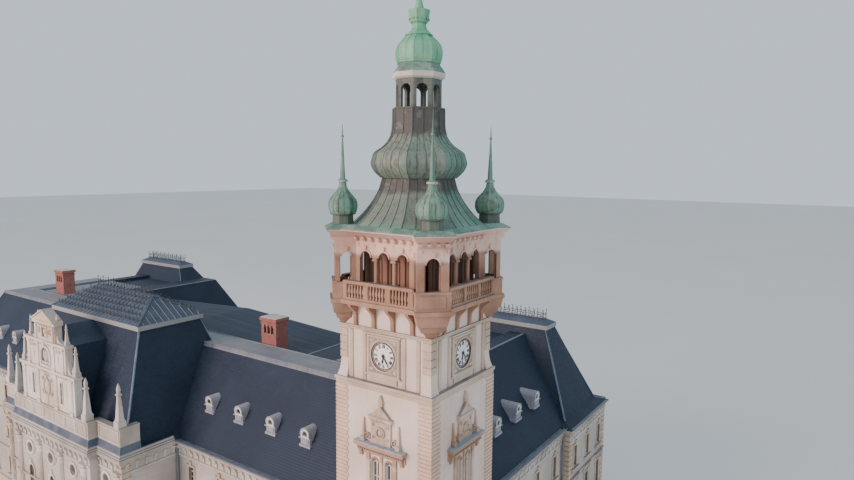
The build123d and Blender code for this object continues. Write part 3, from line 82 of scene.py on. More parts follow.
class Wire:
    """A node socket that Python's arithmetic works on."""

    def __init__(self, graph: "Graph", socket: bpy.types.NodeSocket) -> None:
        """Keep the socket and the graph that it belongs to."""
        self.graph = graph
        self.socket = socket

    def calc(self, operation: str, *values: Number) -> "Wire":
        """Add a Math node with an operation and its inputs in order, each a number or a wire."""
        return self.graph.node("ShaderNodeMath", {"operation": operation}, dict(enumerate(values)))

    def __add__(self, other: Number) -> "Wire":
        """Sum."""
        return self.calc("ADD", self, other)

    def __sub__(self, other: Number) -> "Wire":
        """Difference."""
        return self.calc("SUBTRACT", self, other)

    def __rsub__(self, other: Number) -> "Wire":
        """Difference from a number."""
        return self.calc("SUBTRACT", other, self)

    def __mul__(self, other: Number) -> "Wire":
        """Product."""
        return self.calc("MULTIPLY", self, other)

    def __truediv__(self, other: Number) -> "Wire":
        """Quotient."""
        return self.calc("DIVIDE", self, other)

    def __abs__(self) -> "Wire":
        """Absolute value."""
        return self.calc("ABSOLUTE", self)

    def __mod__(self, other: Number) -> "Wire":
        """Remainder, never below zero."""
        return self.calc("FLOORED_MODULO", self, other)

    def root(self) -> "Wire":
        """Square root."""
        return self.calc("SQRT", self)

    def over(self, other: Number) -> "Wire":
        """One where this is greater than the other."""
        return self.calc("GREATER_THAN", self, other)

    def smooth(self, low: float, high: float) -> "Wire":
        """A smooth rise from 0 at the low value to 1 at the high one."""
        return self.graph.node("ShaderNodeMapRange", {"interpolation_type": "SMOOTHSTEP"},
                               {0: self, 1: low, 2: high})


class Graph:
    """The node tree of one material."""

    def __init__(self, name: str) -> None:
        """Start a material with one Principled shader.

        Args:
            name: The material's name.
        """
        self.material = bpy.data.materials.new(name)
        self.material.use_nodes = True
        self.tree = self.material.node_tree
        self.shader = next(n for n in self.tree.nodes if n.type == "BSDF_PRINCIPLED")

    def node(self, kind: str, settings: Optional[dict[str, Any]] = None,
             inputs: Optional[dict[Any, Any]] = None, output: Union[int, str] = 0) -> Wire:
        """Add one node.

        Args:
            kind: The node's type.
            settings: Its settings, set before its sockets.
            inputs: Values or wires for its sockets, by name or number.
            output: The output to return.

        Returns:
            The chosen output.
        """
        made = self.tree.nodes.new(kind)
        for key, value in (settings or {}).items():
            setattr(made, key, value)
        for key, value in (inputs or {}).items():
            self.plug(made.inputs[key], value)
        return Wire(self, made.outputs[output])

    def plug(self, socket: bpy.types.NodeSocket, value: Any) -> None:
        """Give a socket a value or a wire.

        Args:
            socket: The input socket.
            value: What it takes.
        """
        if isinstance(value, Wire):
            self.tree.links.new(value.socket, socket)
        else:
            socket.default_value = value

    def set(self, name: str, value: Any) -> None:
        """Give the shader's input of that name a value or a wire."""
        self.plug(self.shader.inputs[name], value)

    def colour(self) -> Wire:
        """The colour that the shader has so far."""
        return Wire(self, self.shader.inputs["Base Color"].links[0].from_socket)

    def parts(self, vector: Wire) -> tuple[Wire, Wire, Wire]:
        """The x, y and z of a vector."""
        outputs = self.node("ShaderNodeSeparateXYZ", {}, {0: vector}).socket.node.outputs
        return tuple(Wire(self, outputs[i]) for i in range(3))

    def place(self) -> Wire:
        """The point on the object, in metres."""
        return self.node("ShaderNodeTexCoord", output="Object")

    def axes(self) -> tuple[Wire, Wire, Wire]:
        """The point's x, y and z."""
        return self.parts(self.place())

    def facing(self) -> tuple[Wire, Wire, Wire]:
        """The surface normal's x, y and z."""
        return self.parts(self.node("ShaderNodeNewGeometry", output="Normal"))

    def along(self) -> Wire:
        """The distance along a wall: x on faces that look to Y, and y on those that look to X.

        Returns:
            The distance, in metres.
        """
        x, y, _ = self.axes()
        nx, ny, _ = self.facing()
        side = abs(nx).over(abs(ny))
        return x * (1 - side) + y * side

    def turn(self) -> Wire:
        """The point's angle about the z axis, in radians."""
        x, y, _ = self.axes()
        return y.calc("ARCTAN2", y, x)

    def vector(self, x: Number, y: Number, z: Number = 0.0) -> Wire:
        """A vector from its three parts."""
        return self.node("ShaderNodeCombineXYZ", {}, {0: x, 1: y, 2: z})

    def noise(self, scale: float, detail: float, stretch: Sequence[float] = (1, 1, 1),
              rough: float = 0.55) -> Wire:
        """Noise from 0 to 1 over the object, finer along an axis with a greater stretch.

        Args:
            scale: How fine it is.
            detail: How many finer layers it has.
            stretch: Its fineness along x, y and z.
            rough: How strong the finer layers are.

        Returns:
            The noise.
        """
        point = self.node("ShaderNodeVectorMath", {"operation": "MULTIPLY"},
                          {0: self.place(), 1: tuple(stretch)})
        return self.node("ShaderNodeTexNoise", {},
                         {"Vector": point, "Scale": scale, "Detail": detail, "Roughness": rough})

    def patches(self, scale: float, detail: float, low: float, high: float,
                stretch: Sequence[float] = (1, 1, 1), rough: float = 0.55) -> Wire:
        """Patches of 0 and 1 with soft edges: noise that rises between a low and a high value."""
        return self.noise(scale, detail, stretch, rough).smooth(low, high)

    def bricks(self, point: Wire, size: Pair, joint: float, output: str = "Fac") -> Wire:
        """A brick pattern.

        Args:
            point: Where it is read: the distance along the wall and the height.
            size: Width and height of a brick.
            joint: Width of a joint.
            output: "Fac" for the joints as 1, or "Color" for a grey that differs from brick to brick.

        Returns:
            The pattern.
        """
        return self.node("ShaderNodeTexBrick", {"offset": 0.5},
                         {"Vector": point, "Scale": 1.0, "Mortar Size": joint, "Mortar Smooth": 0.4,
                          "Bias": 0.0, "Brick Width": size[0], "Row Height": size[1],
                          "Color1": (0, 0, 0, 1), "Color2": (1, 1, 1, 1)}, output)

    def shades(self, point: Wire, size: Pair) -> Wire:
        """A value from 0 to 1 that differs from brick to brick."""
        return self.node("ShaderNodeRGBToBW", {}, {0: self.bricks(point, size, 0.0, "Color")})

    def welts(self, steps: Wire, half: float) -> Wire:
        """Lines of 1, half of a step away from each whole number; half is half a line's width."""
        return 1 - abs(steps % 1.0 - 0.5).smooth(0.0, half)

    def mix(self, first: Colour, second: Colour, factor: Number) -> Wire:
        """Blend two colours.

        Args:
            first: The colour at 0: a wire, linear values or six hexadecimal digits.
            second: The colour at 1.
            factor: The share of the second.

        Returns:
            The blended colour.
        """
        inputs: dict[int, Any] = {0: factor}
        for socket, colour in ((6, first), (7, second)):
            values = tone(colour) if isinstance(colour, str) else colour
            inputs[socket] = values if isinstance(values, Wire) else (*values, 1)
        return self.node("ShaderNodeMix", {"data_type": "RGBA"}, inputs, 2)

    def surface(self, colour: Wire, rough: Number) -> None:
        """Give the shader its colour and roughness."""
        self.set("Base Color", colour)
        self.set("Roughness", rough)

    def bump(self, height: Number, depth: float, strength: float) -> None:
        """Drive the shader's normal by a height in metres times a depth."""
        self.set("Normal", self.node("ShaderNodeBump", {},
                                     {"Strength": strength, "Distance": depth, "Height": height}))


class Course(Enum):
    """How the surface of a masonry wall is divided."""

    PLAIN = "plain"
    ASHLAR = "ashlar"


@dataclass(frozen=True)
class Finish:
    """A finish that one or more pieces share, with two colours that drift over each other."""

    name: str
    base: str
    second: str
    rough: float = 0.8

    def paint(self, g: Graph) -> None:
        """Fill the node tree; each kind of finish does this in its own way.

        Args:
            g: The node tree.
        """
        raise NotImplementedError

    def material(self) -> bpy.types.Material:
        """The finish as a material, made once.

        Returns:
            The material.
        """
        name = f"finish_{self.name}"
        made = bpy.data.materials.get(name)
        if made is None:
            g = Graph(name)
            self.paint(g)
            made = g.material
        return made


@dataclass(frozen=True)
class Masonry(Finish):
    """Plaster or dressed stone with rain streaks and, where set, stone joints and lead on its ledges."""

    course: Course = Course.PLAIN
    stone: Pair = (0.42, 0.155)
    joint: float = 0.009
    joints_below: float = 0.0
    grime: Rgb = (0.16, 0.13, 0.10)
    dirt: float = 0.35
    ledge: float = 0.0

    def paint(self, g: Graph) -> None:
        """Colour by patches, then streaks stretched upright, the joints' grooves and lead on ledges.

        Args:
            g: The node tree.
        """
        colour = g.mix(self.base, self.second, g.patches(0.55, 7, 0.36, 0.66))
        streak = g.patches(1.0, 8, 0.52, 0.78, (5.5, 5.5, 0.35), 0.65)
        colour = g.mix(colour, self.grime, streak * self.dirt)
        colour = g.mix(colour, self.grime, g.patches(9.0, 6, 0.5, 0.75) * (self.dirt * 0.35))
        height: Number = g.noise(35, 5) * 0.2
        if self.course is Course.ASHLAR:
            _, _, z = g.axes()
            point = g.vector(g.along(), z)
            joint = g.bricks(point, self.stone, self.joint) * (1 - z.over(self.joints_below))
            colour = g.mix(colour, self.second, g.shades(point, self.stone) * 0.45)
            colour = g.mix(colour, self.grime, joint * 0.55)
            height = height - joint
        if self.ledge:
            _, _, up = g.facing()
            sheet = g.mix("4C5866", "69727A", g.patches(1.6, 5, 0.35, 0.65))
            colour = g.mix(colour, sheet, up.smooth(0.45, 0.75) * self.ledge)
        g.surface(colour, self.rough)
        g.bump(height, 0.012, 0.8)


@dataclass(frozen=True)
class Slates(Finish):
    """Rows of slates, each a little lighter or darker, with a satin face and a thick lower edge."""

    slate: Pair = (0.15, 0.105)
    joint: float = 0.004

    def paint(self, g: Graph) -> None:
        """Bricks on (along, height), where height is measured up the slope, or along y where it is flat.

        Args:
            g: The node tree.
        """
        _, y, z = g.axes()
        _, _, nz = g.facing()
        flat = nz.smooth(0.9, 0.95)
        up = z / (1 - nz * nz + 0.02).root() * (1 - flat) + y * flat
        point = g.vector(g.along(), up)
        joint = g.bricks(point, self.slate, self.joint)
        shade = g.shades(point, self.slate)
        patch = g.patches(0.35, 6, 0.35, 0.7)
        colour = g.mix(self.base, self.second, shade * 0.5 + patch * 0.45)
        colour = g.mix(colour, "565D64", g.patches(2.2, 8, 0.62, 0.8) * 0.16)
        colour = g.mix(colour, "171B21", joint * 0.6)
        g.set("Specular IOR Level", 0.22)
        g.surface(colour, shade * 0.18 + self.rough)
        row = (up / self.slate[1]) % 1.0
        g.bump(0 - row * 0.7 - joint * 0.5, 0.006, 0.8)


@dataclass(frozen=True)
class SheetMetal(Finish):
    """Zinc or lead sheet with cross seams and dull patches, and a pale upright edge where set."""

    seam: float = 0.62
    fascia: bool = False

    def paint(self, g: Graph) -> None:
        """Seams at even distances along the piece, and stains stretched down the slope.

        Args:
            g: The node tree.
        """
        patch = g.patches(1.4, 6, 0.35, 0.7)
        seam = g.welts(g.along() / self.seam, 0.035)
        colour = g.mix(self.base, self.second, patch)
        colour = g.mix(colour, "454B52", g.patches(1.0, 7, 0.5, 0.8, (4, 4, 0.8)) * 0.35)
        colour = g.mix(colour, "33383E", seam * 0.45)
        if self.fascia:
            _, _, up = g.facing()
            colour = g.mix(colour, "8F9390", 1 - abs(up).smooth(0.10, 0.30))
        g.surface(colour, patch * 0.15 + self.rough)
        g.set("Specular IOR Level", 0.35)
        g.bump(seam, 0.012, 0.8)


@dataclass(frozen=True)
class ArcadeStone(Masonry):
    """Cream frieze stone that turns to the brown stone of the piers at the arches' springing."""

    spring: float = 16.52
    fade: float = 0.16
    brown: Rgb = (0.27, 0.165, 0.115)

    def paint(self, g: Graph) -> None:
        """The masonry, mixed with the piers' brown below the springing and faded out above it.

        Args:
            g: The node tree.
        """
        super().paint(g)
        _, _, z = g.axes()
        height = z + g.noise(4.0, 5) * 0.10 - 0.05
        share = 1 - height.smooth(self.spring, self.spring + self.fade)
        g.set("Base Color", g.mix(g.colour(), self.brown, share * 0.85))


@dataclass(frozen=True)
class ApronStone(Masonry):
    """Parapet stone over a sloping apron of lead."""

    apron: Pair = (7.68, 7.975)
    welt: float = 0.7

    def paint(self, g: Graph) -> None:
        """The masonry, and dull lead with welts between the apron's two levels.

        Args:
            g: The node tree.
        """
        super().paint(g)
        _, _, z = g.axes()
        lead = g.mix("475261", "5D6875", g.patches(1.4, 6, 0.35, 0.65))
        lead = g.mix(lead, "2E343B", g.welts(g.along() / self.welt, 0.03) * 0.4)
        share = z.over(self.apron[0]) * (1 - z.over(self.apron[1]))
        g.set("Base Color", g.mix(g.colour(), lead, share))


@dataclass(frozen=True)
class WindowStone(Masonry):
    """Pale stone with a band of brown carving under a cornice."""

    band: Pair = (9.66, 10.28)
    brown: Rgb = (0.36, 0.23, 0.155)

    def paint(self, g: Graph) -> None:
        """The masonry, with the band's brown laid over it and broken up by noise.

        Args:
            g: The node tree.
        """
        super().paint(g)
        _, _, z = g.axes()
        height = z + g.noise(3.0, 5) * 0.16 - 0.08
        share = height.smooth(self.band[0], self.band[0] + 0.10) * (1 - z.over(self.band[1]))
        g.set("Base Color", g.mix(g.colour(), self.brown, share * 0.75))


@dataclass(frozen=True)
class RoofedStone(Masonry):
    """Stone eaves whose upper part is covered with green copper sheet."""

    roof_above: float = 17.4

    def paint(self, g: Graph) -> None:
        """The masonry below a level, and patina patches with brown seams above it.

        Args:
            g: The node tree.
        """
        super().paint(g)
        _, _, z = g.axes()
        green = g.mix("567A6C", "78968A", g.patches(1.6, 7, 0.36, 0.64))
        green = g.mix(green, "5B544E", g.patches(6.0, 8, 0.45, 0.75) * 0.65)
        green = g.mix(green, "3B3632", g.welts(g.turn() * 3.4, 0.02) * 0.5)
        g.set("Base Color", g.mix(g.colour(), green, z.over(self.roof_above)))


@dataclass(frozen=True)
class Copper(Finish):
    """Weathered copper: green patina over brown metal, washed down in streaks.

    The levels are heights in metres; a part whose level is 0 is left out.
    """

    brown: str = "5B544E"
    share: float = 0.5
    plate: float = 0.0
    # Share of grey painted on faces that look to -y: a painted highlight where the key light falls, not
    # ageing.
    sunlit_grey: float = 0.0
    drum_above: float = 0.0
    neck_below: float = 0.0
    edge_below: float = 0.0

    def paint(self, g: Graph) -> None:
        """Patina in soft patches, brown washed down in fine streaks, and a painted sunlit grey, a painted
        highlight, where a face looks to -y towards the key light.

        Args:
            g: The node tree.
        """
        _, _, z = g.axes()
        _, ny, _ = g.facing()
        patch = g.patches(0.9, 5, 0.34, 0.66)
        wash = g.patches(1.0, 8, 0.44, 0.70, (9.0, 9.0, 0.45), 0.6)
        fleck = g.patches(9.0, 7, 0.50, 0.78)
        # Painted light: faces that look to -y, towards the key light, are greyed as a painted highlight.
        front = (0 - ny).smooth(-0.1, 0.75)
        painted_sunlit_grey = front * self.sunlit_grey * (patch * 0.35 + 0.65)
        colour = g.mix(g.mix(self.base, self.second, patch), "7A756C", painted_sunlit_grey)
        colour = g.mix(colour, self.brown, wash * self.share)
        colour = g.mix(colour, self.brown, fleck * (self.share * 0.35))
        height: Number = fleck * 0.3
        round_plan = g.turn() * 0.9
        if self.drum_above:
            level = z + g.noise(3.0, 6) * 0.5
            plates = g.mix("474440", "6B6F6B", g.patches(2.6, 5, 0.55, 0.62) * 0.6)
            colour = g.mix(colour, plates, level.smooth(self.drum_above + 0.2, self.drum_above + 0.42) * 0.9)
        if self.edge_below:
            edge = 1 - (z + g.noise(2.5, 5) * 0.3).smooth(self.edge_below, self.edge_below + 0.3)
            colour = g.mix(colour, g.mix("5C8573", "7A9A8B", patch), edge * 0.75)
        if self.neck_below:
            colour = g.mix(colour, "48413B", (1 - z.over(self.neck_below)) * 0.65)
        if self.plate:
            seam = g.bricks(g.vector(round_plan, z), (self.plate * 1.3, self.plate), 0.006)
            colour = g.mix(colour, self.brown, seam * 0.5)
            height = height + seam
        cross = g.bricks(g.vector(round_plan, z), (0.55, 0.62), 0.007)
        g.surface(g.mix(colour, "3B3632", cross * 0.30), fleck * 0.2 + self.rough)
        g.set("Specular IOR Level", 0.35)
        g.bump(height, 0.004, 0.5)


@dataclass(frozen=True)
class Dial(Finish):
    """White enamel inside the dial's circle and carved stone outside it."""

    radius: float = 0.435
    middle: float = 13.30

    def paint(self, g: Graph) -> None:
        """The circle: whichever of x or y is smaller runs across, and z is taken from the middle.

        Args:
            g: The node tree.
        """
        x, y, z = g.axes()
        across = x.calc("MINIMUM", abs(x), abs(y))
        up = z - self.middle
        ring = (across * across + up * up).over(self.radius * self.radius)
        enamel = g.mix(self.base, self.second, g.patches(2.0, 6, 0.5, 0.85, (3, 3, 0.6)))
        stone = g.mix("BBA591", "8F7A68", g.patches(14.0, 6, 0.42, 0.6))
        g.surface(g.mix(enamel, stone, ring), ring * 0.45 + self.rough)


@dataclass(frozen=True)
class Brickwork(Finish):
    """Red bricks in pale joints."""

    brick: Pair = (0.125, 0.042)
    joint: float = 0.006

    def paint(self, g: Graph) -> None:
        """Bricks on (along, height) with a colour for each.

        Args:
            g: The node tree.
        """
        _, _, z = g.axes()
        point = g.vector(g.along(), z)
        joint = g.bricks(point, self.brick, self.joint)
        colour = g.mix(self.base, self.second, g.shades(point, self.brick))
        colour = g.mix(colour, "3A2A26", g.patches(3, 6, 0.5, 0.8) * 0.4)
        g.surface(g.mix(colour, "A89888", joint * 0.7), self.rough)
        g.bump(0 - joint, 0.006, 0.8)


@dataclass(frozen=True)
class Gloss(Finish):
    """Paint, iron or glass: an even colour with a clean sheen and faint streaks of dust."""

    coat: float = 0.0
    metal: float = 0.0

    def paint(self, g: Graph) -> None:
        """Dust stretched upright over the base colour.

        Args:
            g: The node tree.
        """
        dust = g.patches(2.0, 6, 0.5, 0.85, (3, 3, 0.6))
        g.surface(g.mix(self.base, self.second, dust), dust * 0.2 + self.rough)
        g.set("Coat Weight", self.coat)
        g.set("Metallic", self.metal)


@dataclass(frozen=True)
class Timber(Finish):
    """Varnished oak with an upright grain."""

    def paint(self, g: Graph) -> None:
        """Grain from noise stretched along Z.

        Args:
            g: The node tree.
        """
        grain = g.noise(9, 8, (9, 9, 0.6), 0.7)
        g.surface(g.mix(self.base, self.second, grain.smooth(0.35, 0.65)), self.rough)
        g.bump(grain, 0.002, 0.5)


WALL = Masonry("plaster", "BFB9B2", "A69F97", 0.88, Course.ASHLAR, dirt=0.34, joints_below=2.38)
TOWER_WALL = Masonry("tower_plaster", "E2CFC4", "D2BCAF", 0.86, dirt=0.22)
CUT_STONE = Masonry("cut_stone", "CDBAA6", "B49E88", 0.85, dirt=0.40, ledge=0.75)
PARAPET_STONE = ApronStone("parapet_stone", "BDB7AE", "A0978A", 0.86, dirt=0.50, ledge=0.7)
GABLE_STONE = Masonry("gable_stone", "DAD4CC", "C0AF9C", 0.86, dirt=0.55, ledge=0.55)
WINDOW_STONE = WindowStone("window_stone", "D3BEAC", "A8896F", 0.86, dirt=0.55, ledge=0.6)
QUOIN_STONE = Masonry("quoin_stone", "DCC1AD", "C8AA93", 0.86, dirt=0.30)
WHITE_STONE = Masonry("white_stone", "CDC9C1", "ADA699", 0.85, dirt=0.45, ledge=0.35)
CORNICE_STONE = Masonry("cornice_stone", "B9B1A7", "9A9186", 0.85, dirt=0.45, ledge=1.0)
RED_STONE = Masonry("red_sandstone", "B08B74", "85634E", 0.86, dirt=0.50, ledge=0.70)
CORE_STONE = Masonry("core_stone", "8E6A58", "6E5145", 0.88, dirt=0.45)
# Dark brown for the niche backs: painted shade in the recesses, not a darker stone.
NICHE_SHADE = Masonry("niche_painted_shade", "574239", "42322B", 0.9, dirt=0.3)
FLOOR_STONE = Masonry("floor_stone", "A79C8C", "8C8172", 0.8)
FRIEZE = ArcadeStone("cream_frieze", "E0C2B3", "C09A88", 0.85, dirt=0.40)
EAVES_STONE = RoofedStone("roofed_eaves", "E0C2B3", "C09A88", 0.85, dirt=0.38, roof_above=17.405)
FASCIA = RoofedStone("fascia_and_copper", "D3CFC5", "B9B3A7", 0.8, dirt=0.30, roof_above=22.545)
SLATE = Slates("slate", "222D3C", "2D3A4B", 0.50)
ZINC = SheetMetal("zinc", "6C737C", "7D8084", 0.55, 0.62)
PALE_LEAD = SheetMetal("pale_lead", "9A9C98", "ABABA4", 0.6, 3.0)
HOOD_LEAD = SheetMetal("hood_lead", "8596A8", "98A6B4", 0.5, 0.5)
CAP_ZINC = SheetMetal("cap_zinc", "3D4B5D", "4C5A69", 0.6, 0.31, fascia=True)
DORMER_ZINC = SheetMetal("dormer_zinc", "8D8F9A", "A0A0A6", 0.55, 0.24)
LEAD = SheetMetal("lead", "56667A", "6A7B8E", 0.55, 0.85)
ROOF_COPPER = Copper("roof_copper", "4F7A6D", "6B8A7B", 0.6, "5B544E", 0.60, sunlit_grey=0.72,
                     drum_above=18.55, edge_below=17.66)
BULB_COPPER = Copper("bulb_copper", "587E70", "718E7E", 0.6, "57504A", 0.85, sunlit_grey=0.50, drum_above=20.45)
DOME_COPPER = Copper("dome_copper", "56A482", "7CB892", 0.55, "6E6A4C", 0.30, sunlit_grey=0.10)
DRUM_COPPER = Copper("drum_copper", "4E5B55", "66736B", 0.65, "3B3632", 0.80, plate=0.34, sunlit_grey=0.35)
SEAM_COPPER = Copper("seam_copper", "4A5A52", "5B685F", 0.6, "3B3632", 0.5)
TURRET_COPPER = Copper("turret_copper", "588B77", "779E8C", 0.6, "51483F", 0.75, sunlit_grey=0.25,
                       neck_below=17.89)
BRICK = Brickwork("red_brick", "A65A53", "80443F", 0.85)
PANE = Gloss("window_glass", "1D252C", "3A4550", 0.12, 0.3)
WHITE_PAINT = Gloss("white_paint", "D8D5CC", "B5AFA3", 0.45)
BLACK_PAINT = Gloss("black_paint", "15161A", "2A2C30", 0.35, 0.2)
DIAL_RING = Gloss("dial_ring", "3E3A3C", "5A5450", 0.5)
IRON = Gloss("black_iron", "3A3F44", "55585A", 0.5, 0.0, 0.3)
ENAMEL = Dial("dial_enamel", "E9E6E6", "D2CFCC", 0.35)
OAK = Timber("oak", "5A3A22", "3B2415", 0.4)


@dataclass
class Shape:
    """Points and faces of a mesh, held as whole arrays."""

    points: np.ndarray
    faces: list[np.ndarray]

    def placed(self, frames: np.ndarray) -> "Shape":
        """Copies of the shape, one for each 4 by 4 matrix.

        Args:
            frames: An array of matrices, shaped (count, 4, 4).

        Returns:
            One shape that holds all the copies.
        """
        spots = np.einsum("nij,pj->npi", frames[:, :3, :3], self.points) + frames[:, None, :3, 3]
        steps = np.arange(len(frames)) * len(self.points)
        faces = [(group[None] + steps[:, None, None]).reshape(-1, group.shape[1]) for group in self.faces]
        return Shape(spots.reshape(-1, 3), faces)

    def at(self, spots: Spots, angle: Union[float, Sequence[float]] = 0.0) -> "Shape":
        """Upright copies at (x, y, z) spots, turned about z by one angle for all or by one each."""
        return self.placed(frames_at(spots, angle))

    def mirrored(self) -> "Shape":
        """The shape with its mirror image in x."""
        return self + Shape(self.points * (-1, 1, 1), self.faces)

    def __add__(self, other: "Shape") -> "Shape":
        """Both shapes in one."""
        moved = [group + len(self.points) for group in other.faces]
        return Shape(np.concatenate([self.points, other.points]), [*self.faces, *moved])


def together(shapes: Iterable[Shape]) -> Shape:
    """Many shapes in one."""
    return functools.reduce(operator.add, shapes)


def frames_at(spots: Spots, angle: Union[float, Sequence[float]] = 0.0) -> np.ndarray:
    """Upright frames.

    Args:
        spots: Their (x, y, z) origins.
        angle: Their turn about z in radians, one for all or one each.

    Returns:
        An array of matrices, shaped (count, 4, 4).
    """
    spots = np.asarray(spots, float)
    turn = np.broadcast_to(np.asarray(angle, float), (len(spots),))
    frames = np.zeros((len(spots), 4, 4))
    frames[:, 0, 0] = frames[:, 1, 1] = np.cos(turn)
    frames[:, 1, 0], frames[:, 0, 1] = np.sin(turn), -np.sin(turn)
    frames[:, 2, 2] = frames[:, 3, 3] = 1
    frames[:, :3, 3] = spots
    return frames


def circle(count: int) -> np.ndarray:
    """The angles of a full turn in equal steps, from 0."""
    return np.arange(count) * 2 * np.pi / count


def spokes(count: int) -> np.ndarray:
    """Frames at the origin, turned about z in equal steps."""
    return frames_at(np.zeros((count, 3)), circle(count))


# Frames for the tower's four faces and its roof's eight, and half the angle of one of the eight
QUARTERS, EIGHTHS, HALF_EIGHTH = spokes(4), spokes(8), math.pi / 8
OUTWARD = (0.0, -1.0, 0.0)


def skin(rings: Sequence[Any], closed: bool = False) -> Shape:
    """A tube over rings of points.

    Point (i, j) is point j of ring i; both ends get a cap unless the rings close on themselves.

    Args:
        rings: Points shaped (rings, points, 3).
        closed: True if the last ring joins the first.

    Returns:
        The tube as a shape.
    """
    rings = np.asarray(rings, float)
    rows, columns = rings.shape[:2]
    points = rings.reshape(-1, 3)
    i, j = np.meshgrid(np.arange(rows if closed else rows - 1), np.arange(columns), indexing="ij")
    k = (j + 1) % columns
    quads = np.stack([i * columns + j, i * columns + k, (i + 1) * columns + k, (i + 1) * columns + j], -1)
    quads = quads.reshape(-1, 4) % len(points)
    caps = [np.arange(columns)[None, ::-1], np.arange(columns)[None] + (rows - 1) * columns]
    return Shape(points, [quads] if closed else [quads, *caps])


def box(x: Pair, y: Pair, z: Pair, edge: float = 0.0) -> Shape:
    """A block between two values of x, y and z, whose upright edges are cut off by a small chamfer.

    Its outline is the rectangle x by y with eight corners, carried from z[0] to z[1].

    Args:
        x: Lowest and highest x.
        y: Lowest and highest y.
        z: Lowest and highest z.
        edge: Width of the chamfer, or 0 for 8 % of the narrower side.

    Returns:
        The block.
    """
    c = edge or 0.08 * min(x[1] - x[0], y[1] - y[0])
    outline = [(x[0] + c, y[0]), (x[1] - c, y[0]), (x[1], y[0] + c), (x[1], y[1] - c),
               (x[1] - c, y[1]), (x[0] + c, y[1]), (x[0], y[1] - c), (x[0], y[0] + c)]
    return skin([[(*corner, level) for corner in outline] for level in z])


def block(x: float, half: float, y: Pair, z: Pair, edge: float = 0.0) -> Shape:
    """A box that reaches half its width to each side of x."""
    return box((x - half, x + half), y, z, edge)


def turned(profile: Spots, sides: int = 10, start: float = 0.0) -> Shape:
    """A body of revolution on the z axis: ring i has radius r_i at height z_i.

    Args:
        profile: (radius, height) from the bottom up.
        sides: Points in each ring.
        start: Angle of the first point, in radians.

    Returns:
        The body.
    """
    a = start + circle(sides)
    return skin([np.column_stack([r * np.cos(a), r * np.sin(a), np.full(sides, z)]) for r, z in profile])


def carried(profile: Spots, path: Spots, out: Sequence[float], closed: bool = False) -> Shape:
    """A profile carried along a path.

    Point j of ring i is path_i + u_j * side_i + v_j * out, where side_i is the tangent crossed with
    out and lengthened at bends so that the profile keeps its width.

    Args:
        profile: (u, v) pairs.
        path: Points of the path, shaped (count, 3).
        out: The unit direction that v is measured in, the same along the whole path.
        closed: True if the path is a ring.

    Returns:
        The moulding as a shape.
    """
    profile, path, out = np.asarray(profile, float), np.asarray(path, float), np.asarray(out, float)
    step = np.diff(path, axis=0, append=path[:1]) if closed else np.diff(path, axis=0)
    step /= np.linalg.norm(step, axis=1, keepdims=True)
    after = step if closed else np.vstack([step, step[-1:]])
    before = np.roll(after, 1, axis=0)
    if not closed:
        before[0] = after[0]
    tangent = before + after
    tangent /= np.linalg.norm(tangent, axis=1, keepdims=True)
    side = np.cross(tangent, out)
    side /= np.linalg.norm(side, axis=1, keepdims=True)
    side /= np.clip(np.einsum("ij,ij->i", tangent, after), 0.4, 1)[:, None]
    rings = path[:, None] + profile[None, :, :1] * side[:, None] + profile[None, :, 1:] * out
    return skin(rings, closed)


def arc(turn: np.ndarray, across: Any, up: Any, x: float = 0.0, y: float = 0.0, z: float = 0.0) -> np.ndarray:
    """Points of an oval before a wall, (x + across cos t, y, z + up sin t) for the angles t."""
    return np.column_stack([x + across * np.cos(turn), np.full(len(turn), y), z + up * np.sin(turn)])


def wall_points(flat: Spots, y: float = 0.0) -> np.ndarray:
    """Points (x, z) of a wall's face as (x, y, z) at one depth."""
    return np.insert(np.asarray(flat, float), 1, y, axis=1)


def strip(low: float, high: float, out: float, base: float = 0.0) -> list[Pair]:
    """The profile of a flat bar: from low to high across it, and from its base out."""
    return [(low, base), (high, base), (high, out), (low, out)]


def rim(profile: Spots, path: Spots, closed: bool = False) -> Shape:
    """A moulding along a path before a wall that looks to -y."""
    return carried(profile, path, OUTWARD, closed)


def panel(profile: Spots, x: Pair, z: Pair, y: float = 0.0) -> Shape:
    """A closed moulding round a rectangle on a wall."""
    return rim(profile, wall_points([(x[0], z[0]), (x[0], z[1]), (x[1], z[1]), (x[1], z[0])], y), True)


def hoop(radius: float, profile: Spots, y: float, z: float, count: int = 28) -> Shape:
    """A moulding round a circle on a wall: the profile carried round (radius cos t, y, z + radius sin t)."""
    return rim(profile, arc(circle(count), radius, radius, 0.0, y, z), True)


def prism(flat: Spots, depths: Pair) -> Shape:
    """An outline of (x, z) points between two depths y."""
    return skin([wall_points(flat, y) for y in depths])


def run(profile: Spots, ends: Pair, z: float = 0.0) -> Shape:
    """A profile of (out, z) points carried along x, with out towards -y."""
    return skin([[(x, -out, z + up) for out, up in profile] for x in ends])


def wedge(low: float, high: float, depth: float, z: Pair) -> Shape:
    """A keystone before a wall, whose half width goes from low at z[0] to high at z[1]."""
    return skin([[(-w, -depth, level), (w, -depth, level), (w, 0, level), (-w, 0, level)]
                 for w, level in zip((low, high), z)])


